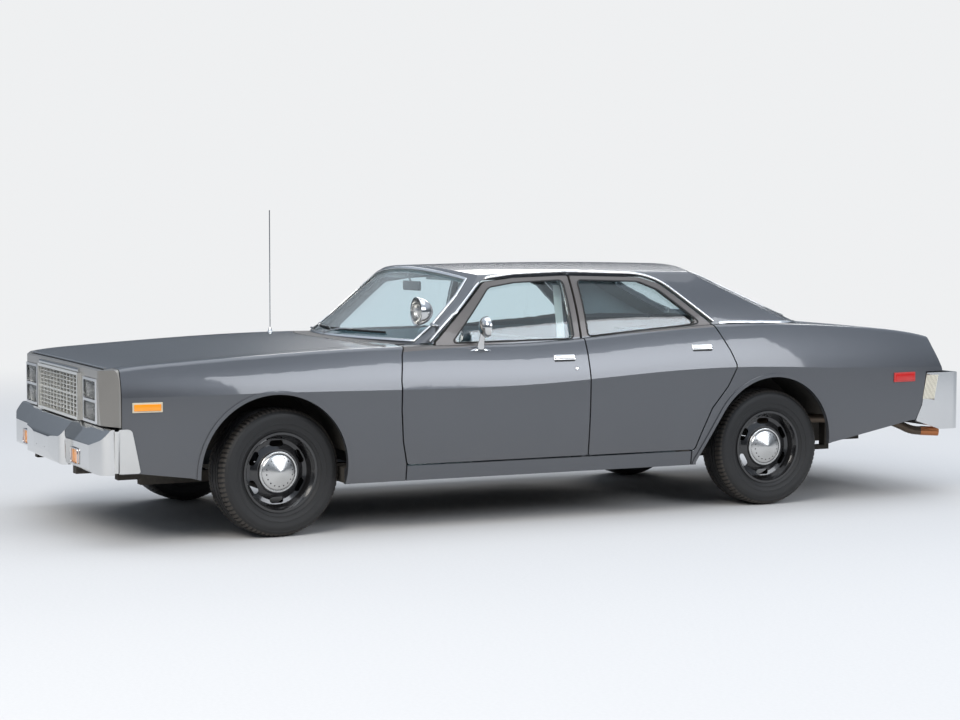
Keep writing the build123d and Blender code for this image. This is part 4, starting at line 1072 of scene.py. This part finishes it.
spotValues = {
    "centre": (0.812, -0.842, 1.15), "segments": 64, "armRadius": 0.0105,
    "shell": ((-0.045, 0.069), (-0.0475, 0.0715), (-0.0492, 0.0745), (-0.048, 0.0775), (-0.044, 0.0779),
              (-0.04, 0.0765), (-0.0385, 0.074), (-0.03, 0.0735), (-0.015, 0.0705), (0.002, 0.064),
              (0.018, 0.0535), (0.032, 0.039), (0.042, 0.023), (0.047, 0.01), (0.0485, 0)),
    "bowl": ((-0.044, 0.0685), (-0.03, 0.06), (-0.015, 0.045), (-0.006, 0.028), (-0.002, 0.012), (-0.001, 0)),
    "lens": ((-0.042, 0.0688), (-0.0455, 0.0688), (-0.0475, 0.045), (-0.0486, 0.022), (-0.049, 0)),
    "arm": ((0.806, -0.8, 1.08), (0.8, -0.77, 1.07), (0.79, -0.73, 1.055), (0.782, -0.7, 1.045)),
}
aerialValues = {
    "place": (-0.88, -1.11, 0.968),
    "section": ((0, 0.017), (0.004, 0.017), (0.01, 0.012), (0.022, 0.0085), (0.03, 0.006), (0.032, 0.0035)),
}


def turnedPart(name, part, v, body, finish):
    return dress(turned(name, v[part], v["segments"], alongY, v["centre"]), body, finish)


def makeMirror(v):
    leaf = "door_front_left_leaf"
    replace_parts(turnedPart("mirrorShell", "shell", v, leaf, "chrome"), "mirror")
    turnedPart("mirrorGlass", "glass", v, leaf, "lampBowl")
    rootX, rootY = v["postRoot"]
    verts = [(rootX + shift + across * c, rootY + along * s, up)
             for up, across, along, shift in v["post"] for c, s in circle(v["postSteps"])]
    post = newPiece("mirrorPost", verts, loftFaces(len(v["post"]), v["postSteps"], caps=True))
    smoothByAngle(post)
    dress(post, leaf, "chrome")


def makeSpotlight(v):
    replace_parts(turnedPart("spotlightShell", "shell", v, "body", "chrome"), "spotlight")
    turnedPart("spotlightBowl", "bowl", v, "body", "lampBowl")
    turnedPart("spotlightLens", "lens", v, "body", "lampGlass")
    tube("spotlightArm", v["arm"], v["armRadius"], "body", "chrome")


def makeAerialFoot(v):
    upright = Matrix(((0, 0, 1), (0, 1, 0), (1, 0, 0)))
    dress(turned("aerialFoot", v["section"], 24, upright, v["place"]), "body", "chrome")


makeMirror(mirrorValues)
makeSpotlight(spotValues)
makeAerialFoot(aerialValues)
print("mirror and spotlight made")


# wipers on the windscreen
wiperValues = {
    "blades": ((-0.1, 0.5), (-0.7, -0.16)), "lift": 0.05, "width": 0.009, "height": 0.014,
    "armWidth": 0.012, "armHeight": 0.006,
}


def makeWiper(number, start, stop, v):
    shape = glassValues["windscreen"]

    def onGlass(across, up):
        place, normal = slopePoint(shape, across, up)
        return castOn(("windscreen", "roof_and_pillars", "firewall_and_cowl"), place + normal * 0.4, -normal)

    def footAt(across):
        return arched(shape, "foot", across / shape["footHalf"])

    hits = [onGlass(across, footAt(across) + v["lift"]) for across in between(start, stop, 16)]
    moulding(f"wiperBlade{number}", hits, v["width"], v["height"], "body", "sealRubber")
    middle = (start + stop) / 2
    reach = ((start - 0.02, footAt(start) - 0.004), ((start + middle) / 2, footAt(middle) + v["lift"] * 0.7),
             (middle, footAt(middle) + v["lift"]))
    hits = [onGlass(point.x, point.y) for point in rounded(reach)]
    moulding(f"wiperArm{number}", hits, v["armWidth"], v["armHeight"], "body", "dullChrome", rise=0.012)


for number, (start, stop) in enumerate(wiperValues["blades"]):
    makeWiper(number, start, stop, wiperValues)
print("wipers made")


# bench seats: sewn channels, crowned faces and rounded ends
benchValues = {
    "slices": 116, "endPower": 7.0, "endRound": 2.6, "endShrink": 0.16,
    "pleat": 0.115, "groove": 0.011, "grooveHalf": 0.01, "sewnShare": 0.96, "crown": 0.0035, "piping": 0.008,
    "front": dict(half=0.689, cushion=((-0.398, 0.345), (-0.412, 0.5), (-0.385, 0.519), (-0.2, 0.518),
                                       (0.06, 0.5), (0.15, 0.5), (0.165, 0.36)),
                  back=((0.04, 0.515), (0.118, 0.945), (0.15, 0.958), (0.215, 0.956), (0.247, 0.935),
                        (0.19, 0.515), (0.17, 0.48), (0.06, 0.48))),
    "rear": dict(half=0.572, cushion=((0.56, 0.345), (0.548, 0.515), (0.575, 0.536), (0.75, 0.528),
                                      (0.945, 0.512), (0.985, 0.505), (0.985, 0.36)),
                 back=((0.945, 0.53), (1.078, 0.955), (1.105, 0.977), (1.155, 0.977), (1.172, 0.96),
                       (1.098, 0.545), (1.06, 0.53))),
}


def paddedSlab(name, outline, half, v, sewn):
    # slices across the car; each is the outline shrunk towards its middle near the ends
    line = filled(rounded(outline, 2, True), 0.016, True)
    middle = sum(line, Vector((0, 0))) / len(line)
    outwards = [(point - middle).normalized() for point in line]
    slices = v["slices"]
    verts = []
    for index in range(slices + 1):
        part = math.sin((index / slices - 0.5) * math.pi)
        edge = max(0.0, 1 - abs(part) ** v["endPower"]) ** (1 / v["endRound"])
        shrink = 1 - (1 - edge) * v["endShrink"]
        x = part * half
        near = abs((x / v["pleat"]) % 1 - 0.5) * 2
        gap = (1 - near) * v["pleat"] / 2
        groove = v["groove"] * math.exp(-((gap / v["grooveHalf"]) ** 2)) if abs(part) < v["sewnShare"] else 0
        swell = v["crown"] * near ** 0.5
        for point, outward in zip(line, outwards):
            relief = swell - groove if sewn(outward) else 0.0
            spot = middle + (point - middle) * shrink + outward * relief
            verts.append((x, spot.x, spot.y))
    return newPiece(name, verts, loftFaces(slices + 1, len(line), caps=True))


def makeBench(end, v):
    shape = v[end]
    half = shape["half"]
    cushion = paddedSlab("cushion", shape["cushion"], half, v, lambda out: out.y > 0.45)
    back = paddedSlab("back", shape["back"], half, v, lambda out: out.x < -0.25)
    seat = joinMeshes(f"{end}Bench", [cushion, back])
    seat.data.shade_smooth()
    dress(seat, "body", "seatCloth")
    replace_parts(seat, f"{end}_seat")
    # piping along the top of the back
    y, z = max(shape["back"], key=lambda point: point[1])
    reach = half * 0.95
    hits = [(Vector((x, y - 0.034, z - 0.008)), Vector((0, -0.5, 0.86))) for x in between(-reach, reach, 30)]
    moulding(f"{end}Piping", hits, v["piping"], v["piping"], "body", "cabinVinyl", edge=0.0039,
             rise=-0.002)


for end in ends:
    makeBench(end, benchValues)
print("seats made")


# cabin fittings
cabinValues = {
    "belt": ((0.628, 0.046, 1.275), (0.655, 0.044, 1.15), (0.69, 0.046, 0.98), (0.705, 0.05, 0.7),
             (0.7, 0.06, 0.43)),
    "beltWidth": 0.048, "beltThick": 0.003,
    "armrest": {"front": (-0.42, 0.745), "rear": (0.44, 0.775)}, "armrestSize": (0.052, 0.4, 0.062),
    "crank": {"front": (-0.7, 0.7), "rear": (0.7, 0.74)}, "trimFace": 0.806,
    "cluster": (0.38, -0.733, 0.9), "dials": (-0.105, 0.0, 0.105), "ticks": 24,
    "rearMirror": (0.0, -0.56, 1.262), "visor": (0.33, -0.47, 1.318), "visorLean": 8,
}


def makeDoorFittings(end, side, sign, v):
    leaf = f"door_{end}_{side}_leaf"
    y, z = v["armrest"][end]
    inset = v["armrestSize"][0] / 2 - 0.002
    rest = roundedBox(f"armrest_{end}_{side}", (sign * (v["trimFace"] - inset), y, z), v["armrestSize"], 0.016, None, 4)
    dress(rest, leaf, "cabinVinyl")
    y, z = v["crank"][end]
    inward = Matrix(((-sign, 0, 0), (0, -sign, 0), (0, 0, 1)))
    outer, inner = sign * v["trimFace"], sign * (v["trimFace"] - 0.016)
    hub = turned("hub", ((0, 0.02), (0.01, 0.02), (0.016, 0.014), (0.018, 0)), 28, inward, (outer, y, z))
    arm = roundedBox("arm", (inner, y + 0.045, z + 0.01), (0.007, 0.1, 0.014), 0.003)
    knob = turned("knob", ((0, 0.008), (0.018, 0.011), (0.024, 0.009), (0.026, 0)), 20, inward,
                  (inner, y + 0.088, z + 0.014))
    dress(joinMeshes(f"windowCrank_{end}_{side}", [hub, arm, knob]), leaf, "dullChrome")


def makeBeltAndVisor(side, sign, v):
    line = filled(rounded([(sign * x, y, z) for x, y, z in v["belt"]]), 0.03)
    hits = [(point, Vector((-sign, 0, 0.1)).normalized()) for point in line]
    moulding(f"seatBelt_{side}", hits, v["beltWidth"], v["beltThick"], "body", "beltWebbing")
    for end in ends:
        makeDoorFittings(end, side, sign, v)
    x, y, z = v["visor"]
    lean = Matrix.Rotation(math.radians(v["visorLean"]), 3, "X")
    visor = roundedBox(f"sunVisor_{side}", (sign * x, y, z), (0.36, 0.14, 0.016), 0.0075, lean, 4)
    dress(visor, "body", "headliner")


def makeRearMirror(x, y, z):
    glass = roundedBox("rearViewMirror", (x, y, z), (0.23, 0.018, 0.054), 0.008)
    dress(glass, "body", "sealRubber")
    stem = ((x, y - 0.006, z + 0.02), (x, y - 0.02, z + 0.055), (x, y - 0.026, z + 0.088))
    tube("rearMirrorStem", stem, 0.006, "body", "dullChrome")


def makeGauge(number, centre, ticks):
    section = ((0, 0.04), (0.003, 0.0405), (0.005, 0.039), (0.003, 0.037), (0.0004, 0.0365))
    dress(turned(f"gaugeRing{number}", section, 40, alongY, centre), "body", "dullChrome")
    tick = roundedBox(f"gaugeTicks{number}", (0.0012, 0, 0.0315), (0.0012, 0.0016, 0.006), 0.0003, None, 1)
    repeated(tick, ticks, (0, 0, 0), math.tau / ticks, "paleMark")
    tick.data.transform(placeOf(alongY, centre))
    cleanMesh(tick.data)
    dress(tick, "body", "paleMark")
    hand = Vector(centre) + Vector((-0.01, 0.0022, 0.008))
    lean = Matrix.Rotation(math.radians(38), 3, "Y")
    needle = roundedBox(f"gaugeNeedle{number}", hand, (0.026, 0.0012, 0.0022), 0.0005, lean, 1)
    dress(needle, "body", "amberLens")


def makeCabin(v):
    for side, sign in sides:
        makeBeltAndVisor(side, sign, v)
    makeRearMirror(*v["rearMirror"])
    x, y, z = v["cluster"]
    dress(roundedBox("gaugePanel", (x, y, z), (0.38, 0.028, 0.105), 0.012), "body", "gaugeFace")
    for number, across in enumerate(v["dials"]):
        makeGauge(number, (x + across, y + 0.0135, z), v["ticks"])


makeCabin(cabinValues)
print("cabin fittings made")


# fluted bumper ends, plates beside the boot lid and the tail pipe
rearValues = {
    "fluteCount": 9, "flutePitch": 0.0098, "fluteWidth": 0.0056, "fluteHeight": 0.0044,
    "fluteFrom": (2.378, 0.722), "fluteTo": (2.345, 0.552), "plateThick": 0.0016,
    # y and z of the slope between the boot lid and the quarter panel's end
    "cornerHead": (2.388, 0.938), "cornerFoot": (2.47, 0.805), "cornerSpan": (0.776, 0.872), "cornerSunk": 0.007,
    "cornerThick": 0.003,
    "pipe": ((0.6, 0.6, 0.287), (0.606, 0.74, 0.3), (0.62, 0.98, 0.44), (0.625, 1.33, 0.47),
             (0.625, 1.6, 0.468), (0.622, 1.95, 0.455), (0.625, 2.3, 0.44), (0.64, 2.4, 0.402),
             (0.662, 2.47, 0.366), (0.69, 2.54, 0.361)),
    "tip": ((0.684, 2.525, 0.362), (0.705, 2.575, 0.36), (0.728, 2.625, 0.358)),
    "pipeRadius": 0.026, "tipRadius": 0.028,
}


def makeFlutes(side, sign, v):
    line = between(Vector(v["fluteFrom"]), Vector(v["fluteTo"]), 6)
    hits = [hit for hit in (castSide("rear_bumper", point.x, point.y, sign) for point in line) if hit[0] is not None]
    pitch, count = v["flutePitch"], v["fluteCount"]
    shift = Vector((0, pitch * (count - 1) / 2, 0))
    moulding(f"flutePlate_{side}", [(place + shift, outward) for place, outward in hits], pitch * count,
             v["plateThick"], "body", "fluteGroove")
    flutes = sweptBar(f"bumperFlutes_{side}", hits, v["fluteWidth"], v["fluteHeight"], 0.0012, "fluteCream")
    repeated(flutes, count, (0, pitch, 0), 0.0, "fluteCream")
    cleanMesh(flutes.data)
    smoothByAngle(flutes)
    dress(flutes, "body", "fluteCream")


def makeTailCorner(side, sign, v):
    head, foot = Vector((0, *v["cornerHead"])), Vector((0, *v["cornerFoot"]))
    fall = (foot - head).normalized()
    outward = Vector((0, -fall.z, fall.y))
    x0, x1 = v["cornerSpan"]
    middle = (head + foot) / 2 - outward * v["cornerSunk"] + Vector((sign * (x0 + x1) / 2, 0, 0))
    axes = Matrix(((1, 0, 0), fall, outward)).transposed()
    size = (x1 - x0, (foot - head).length, v["cornerThick"])
    dress(roundedBox(f"tailCorner_{side}", middle, size, 0.001, axes), "body", "bodyPaint")


for makePart in (makeFlutes, makeTailCorner):
    for side, sign in sides:
        makePart(side, sign, rearValues)
tube("tailPipe", rearValues["pipe"], rearValues["pipeRadius"], "body", "exhaustSteel")
tube("tailPipeTip", rearValues["tip"], rearValues["tipRadius"], "body", "copperTip")
print("rear fittings made")
